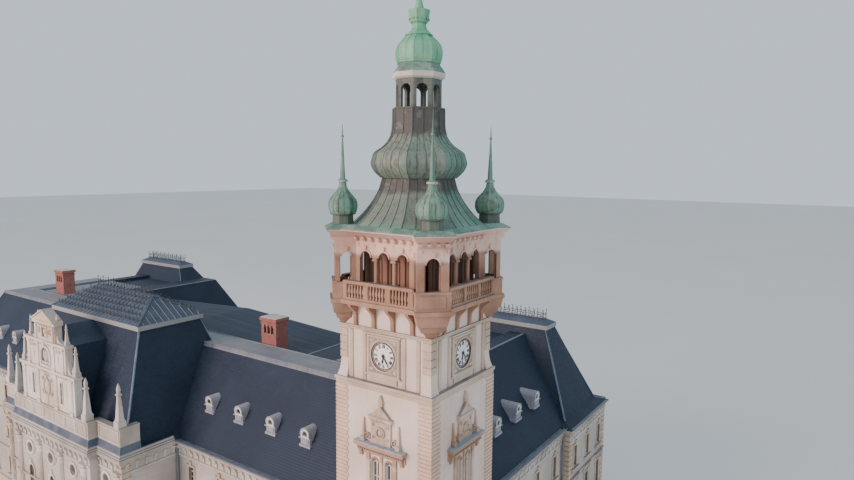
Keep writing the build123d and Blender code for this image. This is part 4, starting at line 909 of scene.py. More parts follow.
def make(name: str, finish: Finish, slot: str, *shapes: Shape, smooth: bool = False,
         replaces: Sequence[str] = ()) -> None:
    """Turn shapes into one finished piece that rides on the building.

    Args:
        name: The piece's name.
        finish: Its finish.
        slot: The record's material slot; not used.
        shapes: Its points and faces.
        smooth: True for rounded forms.
        replaces: CAD nodes that it stands for.
    """
    shape = together(shapes)
    mesh = bpy.data.meshes.new(name)
    mesh.from_pydata(shape.points.tolist(), [], [face for group in shape.faces for face in group.tolist()])
    mesh.validate()
    solid = bmesh.new()
    solid.from_mesh(mesh)
    bmesh.ops.recalc_face_normals(solid, faces=solid.faces)
    solid.to_mesh(mesh)
    solid.free()
    piece = bpy.data.objects.new(name, mesh)
    bpy.context.scene.collection.objects.link(piece)
    mesh.materials.append(finish.material())
    if smooth:
        mesh.shade_smooth()
        mesh.set_sharp_from_angle(angle=math.radians(40))
    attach(piece, "building")
    if replaces:
        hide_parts(*replaces)
    log.info("%s: %d faces", name, len(mesh.polygons))


# The building's plan and levels, in metres, as the CAD model has them
AXIS_X = -16.77
RIGHT_X, LEFT_X = 1.81, -35.35
REAR_RIGHT_X, REAR_LEFT_X = 2.145, -35.685
PAV_HALF, PAV_END_Y, PAV_MID_HALF, PAV_MID_Y = 5.09, -4.37, 3.35, -4.76
SHAFT, CLOCK_HALF = 1.97, 1.85
FRONT_Y, COURT_Y, REAR_Y = -1.79, 7.75, 14.04
COURT_RIGHT_X, COURT_LEFT_X = -8.5, -25.04
STEP_RIGHT_Y, STEP_LEFT_Y = 9.28, 7.85
EAVES_Z = 7.43
RIDGE_Y, RIDGE_Z = 0.565, 11.11


@dataclass(frozen=True)
class Side:
    """One straight side of the plan, walked with the outside on the right."""

    start: Pair
    end: Pair
    bays: int = 0

    @property
    def length(self) -> float:
        """Its length."""
        return math.dist(self.start, self.end)

    def spots(self, distances: np.ndarray) -> np.ndarray:
        """Frames on the wall's face at some distances from its start, with local -y outwards.

        Args:
            distances: Distances in metres.

        Returns:
            An array of matrices.
        """
        along = np.subtract(self.end, self.start)
        flat = self.start + np.asarray(distances)[:, None] * along / self.length
        return frames_at(np.insert(flat, 2, 0.0, axis=1), math.atan2(along[1], along[0]))

    def spread(self, count: int) -> np.ndarray:
        """Frames at the middles of equal lengths."""
        return self.spots((np.arange(count) + 0.5) * self.length / count)

    def every(self, pitch: float) -> np.ndarray:
        """Frames at even distances near a pitch, two at least."""
        return self.spread(max(2, round(self.length / pitch)))


def walk(*corners: tuple[float, float, int]) -> list[Side]:
    """Sides from corner to corner, each corner with the number of window bays that follow it."""
    return [Side((x, y), end[:2], bays) for (x, y, bays), end in zip(corners, corners[1:])]


SIDES = (
    *walk((RIGHT_X, SHAFT, 4), (RIGHT_X, STEP_RIGHT_Y, 0)),
    *walk((REAR_RIGHT_X, STEP_RIGHT_Y, 3), (REAR_RIGHT_X, REAR_Y, 5), (COURT_RIGHT_X, REAR_Y, 3),
          (COURT_RIGHT_X, COURT_Y, 8), (COURT_LEFT_X, COURT_Y, 3), (COURT_LEFT_X, REAR_Y, 5),
          (REAR_LEFT_X, REAR_Y, 3), (REAR_LEFT_X, STEP_LEFT_Y, 0)),
    *walk((LEFT_X, STEP_LEFT_Y, 5), (LEFT_X, FRONT_Y, 7), (AXIS_X - PAV_HALF, FRONT_Y, 0)),
    *walk((AXIS_X + PAV_HALF, FRONT_Y, 5), (-SHAFT, FRONT_Y, 0)),
)
PAV_SIDES = (
    *walk((AXIS_X - PAV_HALF, FRONT_Y, 0), (AXIS_X - PAV_HALF, PAV_END_Y, 0),
          (AXIS_X - PAV_MID_HALF, PAV_END_Y, 0)),
    *walk((AXIS_X - PAV_MID_HALF, PAV_MID_Y, 0), (AXIS_X + PAV_MID_HALF, PAV_MID_Y, 0)),
    *walk((AXIS_X + PAV_MID_HALF, PAV_END_Y, 0), (AXIS_X + PAV_HALF, PAV_END_Y, 0),
          (AXIS_X + PAV_HALF, FRONT_Y, 0)),
)
PAV_BAY = 1.95
TOWER_FRAMES = frames_at([(0, -SHAFT, 0), (SHAFT, 0, 0)], (0, math.pi / 2))


def pavilion_spot(x: float, z: float = 0.0) -> tuple[float, float, float]:
    """A spot on the front pavilion's face, with x from its axis."""
    return AXIS_X + x, PAV_MID_Y if abs(x) < PAV_MID_HALF else PAV_END_Y, z


@dataclass(frozen=True)
class Row:
    """A row of like windows: sill, head and width of the opening, and whether its head is round."""

    sill: float
    head: float
    width: float
    arched: bool = False

    def outline(self, grow: float = 0.0) -> np.ndarray:
        """The opening's outline as (x, z) points, from the sill's left corner upwards.

        A round head is a half circle about the springing; a straight one has two corners.

        Args:
            grow: How far the outline is moved outwards.

        Returns:
            The points, shaped (count, 2).
        """
        half, low = self.width / 2 + grow, self.sill - grow
        if self.arched:
            turn = np.linspace(np.pi, 0, 13)
            head = np.column_stack([half * np.cos(turn), self.head - self.width / 2 + half * np.sin(turn)])
        else:
            head = [(-half, self.head + grow), (half, self.head + grow)]
        return np.vstack([[(-half, low)], head, [(half, low)]])

    def path(self, grow: float = 0.0, y: float = 0.0) -> np.ndarray:
        """The outline's points as (x, y, z) at one depth."""
        return wall_points(self.outline(grow), y)


GROUND = Row(0.85, 2.15, 0.62, True)
FIRST = Row(3.15, 4.55, 0.62)
SECOND = Row(5.35, 6.50, 0.56)
HALL = Row(3.15, 5.55, 0.64, True)
LIGHT = Row(7.95, 9.828, 0.35, True)


@dataclass
class Windows:
    """Joinery in every opening, and the stone frames, sills and hoods round them."""

    reveal: float = 0.16
    frame: float = 0.045
    bar: float = 0.022
    casing: float = 0.11
    proud: float = 0.05
    eye_z: float = 6.30
    eye_radius: float = 0.25
    tower_light_x: float = 0.29

    def joinery(self, row: Row) -> Shape:
        """The frame round one opening with its mullion, transom and glazing bars.

        Args:
            row: The opening.

        Returns:
            The joinery, at the depth of the reveal.
        """
        y, t, b, half = self.reveal, self.frame, self.bar / 2, row.width / 2
        top, share = (row.head - half, 0.98) if row.arched else (row.head, 0.68)
        transom = row.sill + (top - row.sill) * share
        parts = [rim(strip(-t / 2, t / 2, 0.05), row.path(-t / 2, y), True),
                 block(0, t / 2, (y - 0.045, y), (row.sill, row.head - t / 2)),
                 block(0, half - t / 2, (y - 0.05, y), (transom - t / 2, transom + t / 2))]
        for level in (0.36, 0.68):
            z = row.sill + (transom - row.sill) * level
            parts.append(block(0, half - t, (y - 0.03, y), (z - b, z + b)))
        return together(parts)

    def surround(self, row: Row) -> Shape:
        """A moulded stone frame in two steps round an opening, over a sill on two small blocks.

        Args:
            row: The opening.

        Returns:
            The stonework, on the wall's face.
        """
        c, p = self.casing, self.proud
        profile = [(c, 0), (c, p * 0.6), (c * 0.7, p * 0.6), (c * 0.55, p), (0, p), (0, 0)]
        half = row.width / 2 + c + 0.03
        sill = block(0, half, (-0.10, 0.0), (row.sill - 0.10, row.sill - 0.02))
        feet = block(half - 0.1, 0.05, (-0.07, 0.0), (row.sill - 0.22, row.sill - 0.10)).mirrored()
        return rim(profile, row.path()) + sill + feet

    def hood(self, row: Row) -> Shape:
        """A cornice over a window on two consoles, its profile carried from side to side.

        Args:
            row: The opening.

        Returns:
            The cornice, its frieze and the consoles.
        """
        half, z = row.width / 2 + self.casing + 0.07, row.head + self.casing + 0.10
        profile = [(0, 0), (0.03, 0), (0.05, 0.05), (0.13, 0.09), (0.13, 0.13), (0, 0.15)]
        frieze = block(0, half - 0.05, (-0.03, 0.0), (row.head + self.casing, z))
        consoles = block(half - 0.06, 0.045, (-0.08, 0.0), (z - 0.2, z)).mirrored()
        return run(profile, (-half, half), z) + frieze + consoles

    def keystone(self, row: Row) -> Shape:
        """A wedge over a round head, wider at the top."""
        return wedge(0.05, 0.075, 0.075, (row.head - 0.02, row.head + 0.17))

    def eye(self) -> tuple[Shape, Shape]:
        """The bars and the stone ring of the pavilion's small round windows.

        Returns:
            The bars and the ring.
        """
        z, r, y = self.eye_z, self.eye_radius, (self.reveal - 0.04, self.reveal)
        bars = block(0, 0.012, y, (z - r, z + r)) + block(0, r, y, (z - 0.01, z + 0.01))
        return bars, hoop(r, [(0, 0), (0.11, 0), (0.11, 0.04), (0.06, 0.07), (0, 0.05)], 0, z)

    def build(self) -> None:
        """Make the joinery and the stonework of all plain walls, of the pavilion and of the tower."""
        bays = np.concatenate([side.spread(side.bays) for side in SIDES])
        for label, row, crown in (("ground", GROUND, self.keystone), ("first", FIRST, self.hood),
                                  ("second", SECOND, self.keystone)):
            make(f"{label}_storey_joinery", WHITE_PAINT, "plaster", self.joinery(row).placed(bays))
            stone = self.surround(row) + crown(row)
            make(f"{label}_storey_frames", CUT_STONE, "sandstone", stone.placed(bays))
        hall = frames_at([pavilion_spot(PAV_BAY * k) for k in (-2, -1, 0, 1, 2)])
        low = hall[[0, 1, 3, 4]]
        bars, ring = self.eye()
        make("pavilion_joinery", WHITE_PAINT, "plaster", (self.joinery(HALL) + bars).placed(hall),
             self.joinery(GROUND).placed(low))
        make("pavilion_frames", GABLE_STONE, "sandstone",
             (self.surround(HALL) + self.keystone(HALL) + ring).placed(hall),
             (self.surround(GROUND) + self.keystone(GROUND)).placed(low))
        rows = (GROUND, FIRST, SECOND)
        lights = self.joinery(LIGHT).at([(x, 0, 0) for x in (-self.tower_light_x, self.tower_light_x)])
        make("tower_joinery", WHITE_PAINT, "plaster",
             together([*[self.joinery(row) for row in rows], lights]).placed(TOWER_FRAMES))
        make("tower_window_frames", CUT_STONE, "sandstone",
             together([self.surround(row) for row in rows]).placed(TOWER_FRAMES))


@dataclass
class Quoins:
    """Corner stones, long and short in turn, that stand a little proud of the plaster."""

    proud: float = 0.035
    edge: float = 0.012
    gap: float = 0.016
    course: float = 0.243
    tower_course: float = 0.137

    def corner(self, z0: float, z1: float, long: float, short: float, course: float) -> Shape:
        """The stones of one outside corner at the origin, with walls going -x and +y from it.

        Each course is an L of two blocks whose lengths change over from course to course.

        Args:
            z0: The foot's height.
            z1: The top's height.
            long: The longer length of a stone.
            short: The shorter one.
            course: About how high a course is.

        Returns:
            The stones.
        """
        count = max(1, round((z1 - z0) / course))
        step, p = (z1 - z0) / count, self.proud
        gap = min(self.gap, 0.11 * step)
        parts = []
        for i in range(count):
            a, b = (long, short) if i % 2 else (short, long)
            z = (z0 + i * step + gap, z0 + (i + 1) * step - gap)
            parts += [box((-a, p), (-p, 0.02), z, self.edge), box((-0.02, p), (0.02, b), z, self.edge)]
        return together(parts)

    def build(self) -> None:
        """Stones at the tower's corners and at the building's."""
        shaft = self.corner(0.0, 12.08, 0.52, 0.47, self.tower_course).at([(SHAFT, -SHAFT, 0)])
        make("tower_quoins", QUOIN_STONE, "plaster", shaft.placed(QUARTERS))
        upper = self.corner(12.98, 14.02, 0.30, 0.30, self.course).at([(CLOCK_HALF, -CLOCK_HALF, 0)])
        make("clock_storey_quoins", CUT_STONE, "plaster", upper.placed(QUARTERS))
        corners = [(REAR_RIGHT_X, STEP_RIGHT_Y, 0), (REAR_RIGHT_X, REAR_Y, 1), (COURT_RIGHT_X, REAR_Y, 2),
                   (COURT_LEFT_X, REAR_Y, 1), (REAR_LEFT_X, REAR_Y, 2), (REAR_LEFT_X, STEP_LEFT_Y, 3),
                   (LEFT_X, FRONT_Y, 3), (AXIS_X - PAV_HALF, PAV_END_Y, 3), (AXIS_X + PAV_HALF, PAV_END_Y, 0)]
        stones = together([self.corner(*z, 0.42, 0.30, self.course) for z in ((0.46, 2.36), (2.54, 7.08))])
        turns = np.array([quarters for _, _, quarters in corners]) * np.pi / 2
        make("building_quoins", CUT_STONE, "plaster", stones.at([(x, y, 0) for x, y, _ in corners], turns))


@dataclass
class Clocks:
    """Dials with numbers, minute strokes, raised rims and the framed square panels."""

    z: float = 13.30
    face: float = 1.88
    number: Pair = (0.275, 0.392)
    minute: Pair = (0.402, 0.420)
    fifth_minute: Pair = (0.400, 0.422)
    stroke_half: float = 0.0115
    panel_half: float = 0.62
    rosette_half: float = 0.49

    def stroke(self, x: float, half: float, radii: Pair, slant: float = 0.0) -> Shape:
        """A raised stroke between two radii; slant shifts its outer end sideways.

        Args:
            x: Its middle.
            half: Half its width.
            radii: Where it starts and ends.
            slant: The shift of its outer end.

        Returns:
            The stroke, above the dial's middle.
        """
        low, high = radii
        flat = [(x - half, low), (x + half, low), (x + half + slant, high), (x - half + slant, high)]
        return prism(flat, (-self.face - 0.006, -self.face + 0.002))

    def numeral(self, text: str) -> Shape:
        """A Roman number made of straight strokes, standing on the dial with its foot inwards.

        Args:
            text: Its letters.

        Returns:
            The strokes, above the dial's middle.
        """
        widths = {"I": 0.030, "V": 0.062, "X": 0.062}
        strokes = {"I": ((0, 1, 0),), "V": ((0, 1, -0.022), (0, 0.6, 0.022)),
                   "X": ((-0.02, 1, 0.04), (0.02, 0.6, -0.04))}
        x = -sum(widths[c] for c in text) / 2
        parts = []
        for c in text:
            for shift, weight, slant in strokes[c]:
                middle = x + widths[c] / 2 + shift
                parts.append(self.stroke(middle, self.stroke_half * weight, self.number, slant))
            x += widths[c]
        return together(parts)

    def spun(self, share: float) -> np.ndarray:
        """A turn about the dial's middle by a share of the circle, clockwise seen from outside."""
        turn = Matrix.Translation((0, 0, self.z)) @ Matrix.Rotation(share * 2 * math.pi, 4, "Y")
        return np.array([turn])

    def build(self) -> None:
        """Make the numbers, strokes, rims and panels on all four faces."""
        names = ("XII", "I", "II", "III", "IIII", "V", "VI", "VII", "VIII", "IX", "X", "XI")
        marks = [self.numeral(text).placed(self.spun(hour / 12)) for hour, text in enumerate(names)]
        tick, dot = self.stroke(0, 0.0035, self.minute), self.stroke(0, 0.007, self.fifth_minute)
        marks += [(tick if m % 5 else dot).placed(self.spun(m / 60)) for m in range(60)]
        make("dial_numbers", BLACK_PAINT, "hand", together(marks).placed(QUARTERS))
        rounded = [(-0.010, -0.01), (0.010, -0.01), (0.010, 0.018), (-0.010, 0.014)]
        rims = together([hoop(r, rounded, -self.face - 0.005, self.z, 48) for r in (0.438, 0.500)])
        make("dial_rims", DIAL_RING, "dial", rims.placed(QUARTERS), smooth=True)
        wall = -self.face - 0.012
        bold = [(-0.01, -0.01), (0.05, -0.01), (0.05, 0.012), (0.02, 0.035), (-0.01, 0.03)]
        outer = hoop(0.515, bold, wall, self.z, 48)
        make("dial_mouldings", CUT_STONE, "sandstone", outer.placed(QUARTERS), smooth=True)
        half, corner = self.panel_half, self.rosette_half
        edge = [(-0.05, -0.01), (0.05, -0.01), (0.05, 0.02), (0.02, 0.045), (-0.03, 0.045), (-0.05, 0.02)]
        frame = panel(edge, (-half, half), (self.z - half, self.z + half), -1.89)
        knob = turned([(0.001, 0), (0.075, 0.0), (0.07, 0.02), (0.035, 0.035), (0.001, 0.04)])
        tilt = Matrix.Rotation(math.pi / 2, 4, "X")
        knobs = [Matrix.Translation((x, wall, self.z + z)) @ tilt
                 for x in (-corner, corner) for z in (-corner, corner)]
        strips = [block(x, 0.07, (-1.89, -1.85), (12.36, 14.02)).mirrored() for x in (0.82, 1.38)]
        sills = [block(0, 0.56, (-1.905, -1.85), (12.40, 12.60))]
        sills += [block(0, 0.72, (-1.93, -1.85), z) for z in ((12.60, 12.66), (13.97, 14.03))]
        stone = together([frame, knob.placed(np.array(knobs)), *strips, *sills])
        make("clock_panel_frames", CUT_STONE, "sandstone", stone.placed(QUARTERS))


# Rings of the tower's roofs, as (height, half width across flats); the bulb's neck starts at NECK_RING
ROOF_RINGS = ((17.56, 2.11), (17.72, 1.93), (17.90, 1.76), (18.13, 1.58), (18.40, 1.41), (18.70, 1.265),
              (19.085, 1.16))
BULB_RINGS = ((19.085, 1.215), (19.19, 1.33), (19.345, 1.46), (19.56, 1.545), (19.76, 1.50), (19.93, 1.44),
              (20.11, 1.20), (20.29, 1.02), (20.52, 0.89), (20.80, 0.835), (21.35, 0.825))
DOME_RINGS = ((22.88, 0.665), (22.99, 0.715), (23.12, 0.735), (23.28, 0.735), (23.44, 0.69), (23.59, 0.59),
              (23.72, 0.45), (23.79, 0.408))
GLOBE_RINGS = ((17.905, 0.40), (18.0, 0.445), (18.15, 0.468), (18.33, 0.44), (18.48, 0.335), (18.62, 0.215),
               (18.76, 0.14))
NECK_RING = 8
TURRETS = [(x, y, 0.0) for x in (-1.8, 1.8) for y in (-1.8, 1.8)]


@dataclass
class TowerRoof:
    """Rounded copper skins, standing seams, lantern trim and the crown of the tower."""

    steps: int = 4

    def curve(self, rings: Spots) -> np.ndarray:
        """A smooth profile through the rings: (z, half width) on a Catmull-Rom curve.

        Args:
            rings: The rings that it passes through.

        Returns:
            Its points, shaped (count, 2).
        """
        p = np.array([rings[0], *rings, rings[-1]], float)
        t = np.linspace(0, 1, self.steps, endpoint=False)[:, None]
        a, b, c, d = (p[i:len(p) - 3 + i, None] for i in range(4))
        spans = 0.5 * (2 * b + (c - a) * t + (2 * a - 5 * b + 4 * c - d) * t ** 2
                       + (3 * b - a - 3 * c + d) * t ** 3)
        return np.vstack([spans.reshape(-1, 2), p[-1:]])

    def skin(self, rings: Spots) -> Shape:
        """An eight-sided skin: each smooth level is an octagon with flats towards the four sides."""
        return turned([(half / math.cos(HALF_EIGHTH), z) for z, half in self.curve(rings)], 8, HALF_EIGHTH)

    def ribs(self, rings: Spots, count: int, width: float, high: float) -> Shape:
        """Standing seams on all eight faces, which spread with them, and wider ones on their edges.

        The path of seam k is (s_k * half * tan(22.5), -half, z) up the smooth profile.

        Args:
            rings: The rings of the roof.
            count: Seams on a face, apart from the edge's.
            width: A seam's width.
            high: A seam's height.

        Returns:
            The seams.
        """
        z, half = self.curve(rings).T
        parts = []
        for share in [*np.linspace(-1, 1, count + 2)[1:-1], 1.0]:
            edge = share == 1.0
            path = np.column_stack([half * share * math.tan(HALF_EIGHTH), -half, z])
            reach = width * (1.5 if edge else 1.0) / 2
            tangent = np.gradient(path, axis=0)
            side = np.array([math.cos(HALF_EIGHTH), math.sin(HALF_EIGHTH), 0.0] if edge else [1.0, 0.0, 0.0])
            out = np.cross(tangent, side)
            out *= -np.sign(out[:, 1:2] + 1e-9)
            out /= np.linalg.norm(out, axis=1, keepdims=True)
            corners = ((-1, -0.01), (1, -0.01), (0.7, high), (-0.7, high))
            parts.append(skin(np.stack([path + side * reach * u + out * v for u, v in corners], 1)))
        return together(parts).placed(EIGHTHS)

    def ball_row(self, radius: float, z: float, count: int, size: float) -> Shape:
        """Small balls in a ring.

        Args:
            radius: The ring's radius.
            z: Its height.
            count: How many balls.
            size: A ball's radius.

        Returns:
            The balls.
        """
        ball = turned([(size * math.sin(a), -size * math.cos(a)) for a in np.linspace(0.15, np.pi - 0.15, 7)])
        return ball.at([(radius, 0, z)]).placed(spokes(count))

    def build(self) -> None:
        """Skins that stand for the CAD shells, and everything that sits on them."""
        make("tower_roof_skin", ROOF_COPPER, "copper", self.skin(ROOF_RINGS), replaces=["tower_roof"])
        lip = turned([(0.845 / math.cos(HALF_EIGHTH), z) for z in (21.35, 21.41)], 8, HALF_EIGHTH)
        make("tower_bulb_skin", BULB_COPPER, "copper", self.skin(BULB_RINGS), lip, replaces=["tower_bulb"])
        make("dome_skin", DOME_COPPER, "copper", self.skin(DOME_RINGS), replaces=["lantern_dome"])
        make("roof_seams", SEAM_COPPER, "copper", self.ribs(ROOF_RINGS, 3, 0.012, 0.018))
        make("bulb_seams", SEAM_COPPER, "copper", self.ribs(BULB_RINGS[:NECK_RING + 1], 3, 0.012, 0.012))
        make("drum_seams", DRUM_COPPER, "copper", self.ribs(BULB_RINGS[NECK_RING:], 1, 0.014, 0.028))
        make("dome_seams", DOME_COPPER, "copper", self.ribs(DOME_RINGS, 1, 0.010, 0.012))
        rows = ((0.335, 24.30, 16, 0.032), (0.30, 24.50, 12, 0.03), (0.205, 24.17, 14, 0.022))
        spike = turned([(0.03, 25.1), (0.06, 25.16), (0.06, 25.22), (0.02, 25.28), (0.012, 25.58)])
        make("crown_balls", DOME_COPPER, "copper", *[self.ball_row(*row) for row in rows], spike, smooth=True)
        edge = [(0.70, 22.86), (0.76, 22.87), (0.77, 22.90), (0.74, 22.93), (0.70, 22.93)]
        neck = turned([(0.42, 23.76), (0.47, 23.78), (0.47, 23.81), (0.40, 23.84)], 16)
        make("dome_trim", DOME_COPPER, "copper", turned(edge, 8, HALF_EIGHTH), neck)
        band = turned([(0.80, 22.33), (0.865, 22.36), (0.875, 22.50), (0.80, 22.52)], 8, HALF_EIGHTH)
        make("lantern_frieze", WHITE_STONE, "copper", band)
        ring = turned([(0.39, 17.86), (0.43, 17.875), (0.43, 17.905), (0.39, 17.92)], 16)
        make("turret_neck_rings", SEAM_COPPER, "copper", ring.at(TURRETS), smooth=True)
        collars = turned([(0.10, 18.93), (0.17, 18.95), (0.18, 19.0), (0.12, 19.03)], 12)
        collars += turned([(0.02, 20.40), (0.055, 20.42), (0.055, 20.45), (0.02, 20.47)])
        make("turret_collars", PALE_LEAD, "copper", collars.at(TURRETS), smooth=True)
        make("turret_seams", TURRET_COPPER, "copper", self.ribs(GLOBE_RINGS, 1, 0.008, 0.010).at(TURRETS))


@dataclass
class Gallery:
    """Trim of the tower's gallery: arch rims, capitals, rosettes, small brackets and the inner room.

    The diagonal corner bays have their face bay_out from the axis and reach bay_half to each side.
    """

    face: float = 1.872
    spring: float = 16.515
    flower_z: float = 16.93
    arch_pitch: float = 0.752
    bay_out: float = 2.83
    bay_half: float = 0.5
    core_half: float = 1.26
    core_z: Pair = (15.095, 17.18)
    niche: Row = Row(15.42, 16.52, 0.36, True)
    niche_pitch: float = 0.74

    def arch(self, width: float) -> Shape:
        """A moulded rim round an arch head, with a keystone.

        Args:
            width: The arch's span.

        Returns:
            The rim, on a face at y = 0.
        """
        r = width / 2
        head = rim([(0.0, -0.01), (0.0, 0.03), (0.05, 0.03), (0.065, 0.012), (0.065, -0.01)],
                   arc(np.linspace(np.pi, 0, 15), r, r, z=self.spring))
        return head + wedge(0.04, 0.06, 0.06, (self.spring + r - 0.02, self.spring + r + 0.12))

    def rosette(self) -> Shape:
        """A small round flower of six leaves: radius 0.05 + 0.012 cos(6 t) on three levels.

        Returns:
            The flower, on a face at y = 0.
        """
        turn = circle(24)
        leaf = 0.05 + 0.012 * np.cos(6 * turn)
        return skin([arc(turn, leaf * size, leaf * size, 0, -depth, self.flower_z)
                     for depth, size in ((0.0, 1.0), (0.02, 0.9), (0.03, 0.35))])

    def row(self, shape: Shape, places: Sequence[float], out: float) -> Shape:
        """Copies of a shape at some x on a face that stands out from the axis."""
        return shape.at([(x, -out, 0) for x in places])

    def stones(self, places: Sequence[float], half: float, y: Pair, z: Pair, edge: float = 0.0) -> Shape:
        """Like blocks at some x."""
        return together([block(x, half, y, z, edge) for x in places])

    def cheeks(self) -> Shape:
        """Arches on the two sides of the front that join the corner bays, half way along them.

        Returns:
            The rims of both arches.
        """
        near, far = ((self.bay_out + step) / math.sqrt(2) for step in (-self.bay_half, self.bay_half))
        x, y = (self.face - self.bay_half * math.sqrt(2) + near) / 2, -(self.face + far) / 2
        return self.arch(0.40).at([(x, y, 0), (-x, y, 0)], (-math.pi / 4, math.pi / 4))

    def build(self) -> None:
        """Make the trim of the arcade and the gallery's stone edges."""
        face, pitch, out = self.face, self.arch_pitch, self.bay_out
        diagonal = frames_at([(0, 0, 0)], math.pi / 4)
        bay = self.row(self.arch(0.53), (0,), out) + self.row(self.rosette(), (-0.37, 0.37), out)
        trim = [self.row(self.arch(0.516), (-pitch, 0, pitch), face), bay.placed(diagonal), self.cheeks(),
                self.row(self.rosette(), (-1.06, -pitch / 2, pitch / 2, 1.06), face)]
        make("arcade_trim", FRIEZE, "sandstone", together(trim).placed(QUARTERS))
        bracket = run([(0, 17.03), (0, 17.16), (0.14, 17.16), (0.14, 17.11), (0.05, 17.03)], (-0.055, 0.055))
        brackets = self.row(bracket, np.linspace(-1.10, 1.10, 8), face)
        brackets += self.row(bracket, np.linspace(-0.42, 0.42, 4), out).placed(diagonal)
        make("arcade_brackets", FRIEZE, "sandstone", brackets.placed(QUARTERS))
        columns, depth = (-pitch / 2, pitch / 2), (-face - 0.02, -face + 0.19)
        ends = self.stones(columns, 0.11, depth, (16.40, 16.47))
        ends += self.stones(columns, 0.115, depth, (15.62, 15.70))
        make("column_trim", RED_STONE, "sandstone", ends.placed(QUARTERS))
        parapet = block(0, 0.40, (-2.925, -2.90), (15.20, 15.56), 0.01)
        parapet += block(0, 0.56, (-2.93, -2.76), (15.62, 15.69), 0.01)
        make("bay_parapet_trim", RED_STONE, "sandstone", parapet.placed(diagonal).placed(QUARTERS))
        rail = block(0, 1.42, (-2.25, -2.07), (15.66, 15.74), 0.02)
        posts = self.stones((-1.36, -0.46, 0.46, 1.36), 0.07, (-2.235, -2.21), (15.20, 15.60), 0.01)
        make("balustrade_trim", RED_STONE, "sandstone", (rail + posts).placed(QUARTERS))
        self.core()

    def core(self) -> None:
        """Make the room in the gallery's middle: pilasters, mouldings and three shallow niches a side, their
        backs dark with painted shade.
        """
        half, (floor, top) = self.core_half, self.core_z
        make("gallery_core", CORE_STONE, "sandstone", block(0, half, (-half, half), self.core_z, 0.02))
        strips = [block(x, w, (-half - 0.05, -half + 0.02), self.core_z, 0.008).mirrored()
                  for x, w in ((half - 0.06, 0.11), (0.36, 0.07))]
        rails = [block(0, half + out, (-half - out, -half + 0.02), level, 0.01)
                 for out, level in ((0.08, (floor, 15.22)), (0.07, (16.80, 16.90)), (0.10, (16.90, 16.95)))]
        places = [(x, 0, 0) for x in (-self.niche_pitch, 0.0, self.niche_pitch)]
        frame = rim(strip(-0.01, 0.05, 0.035), self.niche.path(0.0, -half), True).at(places)
        # The niche backs take the dark finish as painted shade in the recesses.
        back = prism(self.niche.outline(), (-half - 0.012, -half + 0.02)).at(places)
        trim = together([*strips, *rails, frame])
        make("gallery_core_trim", CORE_STONE, "sandstone", trim.placed(QUARTERS))
        make("gallery_core_niche_shade", NICHE_SHADE, "sandstone", back.placed(QUARTERS))


@dataclass
class Eaves:
    """Brackets, frieze mouldings, dentils, gutters and downpipes along the main eaves."""

    bracket_pitch: float = 0.42
    dentil_pitch: float = 0.14
    frieze_z: float = 6.74
    gutter_z: float = 7.435

    def band(self, side: Side, z: float, profile: Spots, trim: float = 0.0) -> Shape:
        """A straight moulding along one side.

        Args:
            side: The side.
            z: The height that the profile starts from.
            profile: Its (out, z) points.
            trim: How much shorter it is at each end.

        Returns:
            The moulding.
        """
        return run(profile, (trim, side.length - trim), z).placed(side.spots([0.0]))

    def build(self) -> None:
        """Make the eaves of every side."""
        walls = (*SIDES, *PAV_SIDES)
        curl = [(0, 6.86), (0.04, 6.86), (0.06, 6.96), (0.05, 7.04), (0.12, 7.12), (0.14, 7.22), (0, 7.22)]
        scroll = run(curl, (-0.05, 0.05))
        dentil = block(0, 0.03, (-0.10, -0.03), (7.235, 7.30))
        for name, piece, pitch in (("eaves_brackets", scroll, self.bracket_pitch),
                                   ("eaves_dentils", dentil, self.dentil_pitch)):
            frames = np.concatenate([side.every(pitch) for side in walls])
            make(name, WHITE_STONE, "sandstone", piece.placed(frames))
        moulding = [(0, 0), (0.03, 0), (0.045, 0.05), (0.045, 0.09), (0, 0.10)]
        make("frieze_moulding", WHITE_STONE, "sandstone",
             *[self.band(side, self.frieze_z, moulding, 0.02) for side in walls])
        gutter = [(0.06, 0.0), (0.20, -0.03), (0.235, 0.0), (0.24, 0.06), (0.22, 0.06), (0.20, 0.02),
                  (0.08, 0.02)]
        make("eaves_gutters", ZINC, "zinc", *[self.band(side, self.gutter_z, gutter) for side in SIDES])
        self.pipes()

    def pipes(self) -> None:
        """Make the downpipes with their heads and clips, in the corners and by the tower."""
        out, side = 0.10, 0.12
        corners = (AXIS_X + PAV_HALF + side, AXIS_X - PAV_HALF - side, -SHAFT - side)
        places = [(x, FRONT_Y - out, 0) for x in corners]
        places += [(RIGHT_X + out, 9.12, 0), (LEFT_X - out, 7.65, 0)]
        places += [(x, COURT_Y + side, 0) for x in (COURT_RIGHT_X - side, COURT_LEFT_X + side)]
        pipe = turned([(0.045, 0.15), (0.045, 7.30), (0.07, 7.34), (0.07, 7.42)])
        clip = turned([(0.046, 0), (0.06, 0.01), (0.06, 0.05), (0.046, 0.06)])
        clips = clip.at([(0, 0, z) for z in (1.2, 3.0, 4.8, 6.4)])
        make("downpipes", ZINC, "zinc", (pipe + clips).at(places), smooth=True)


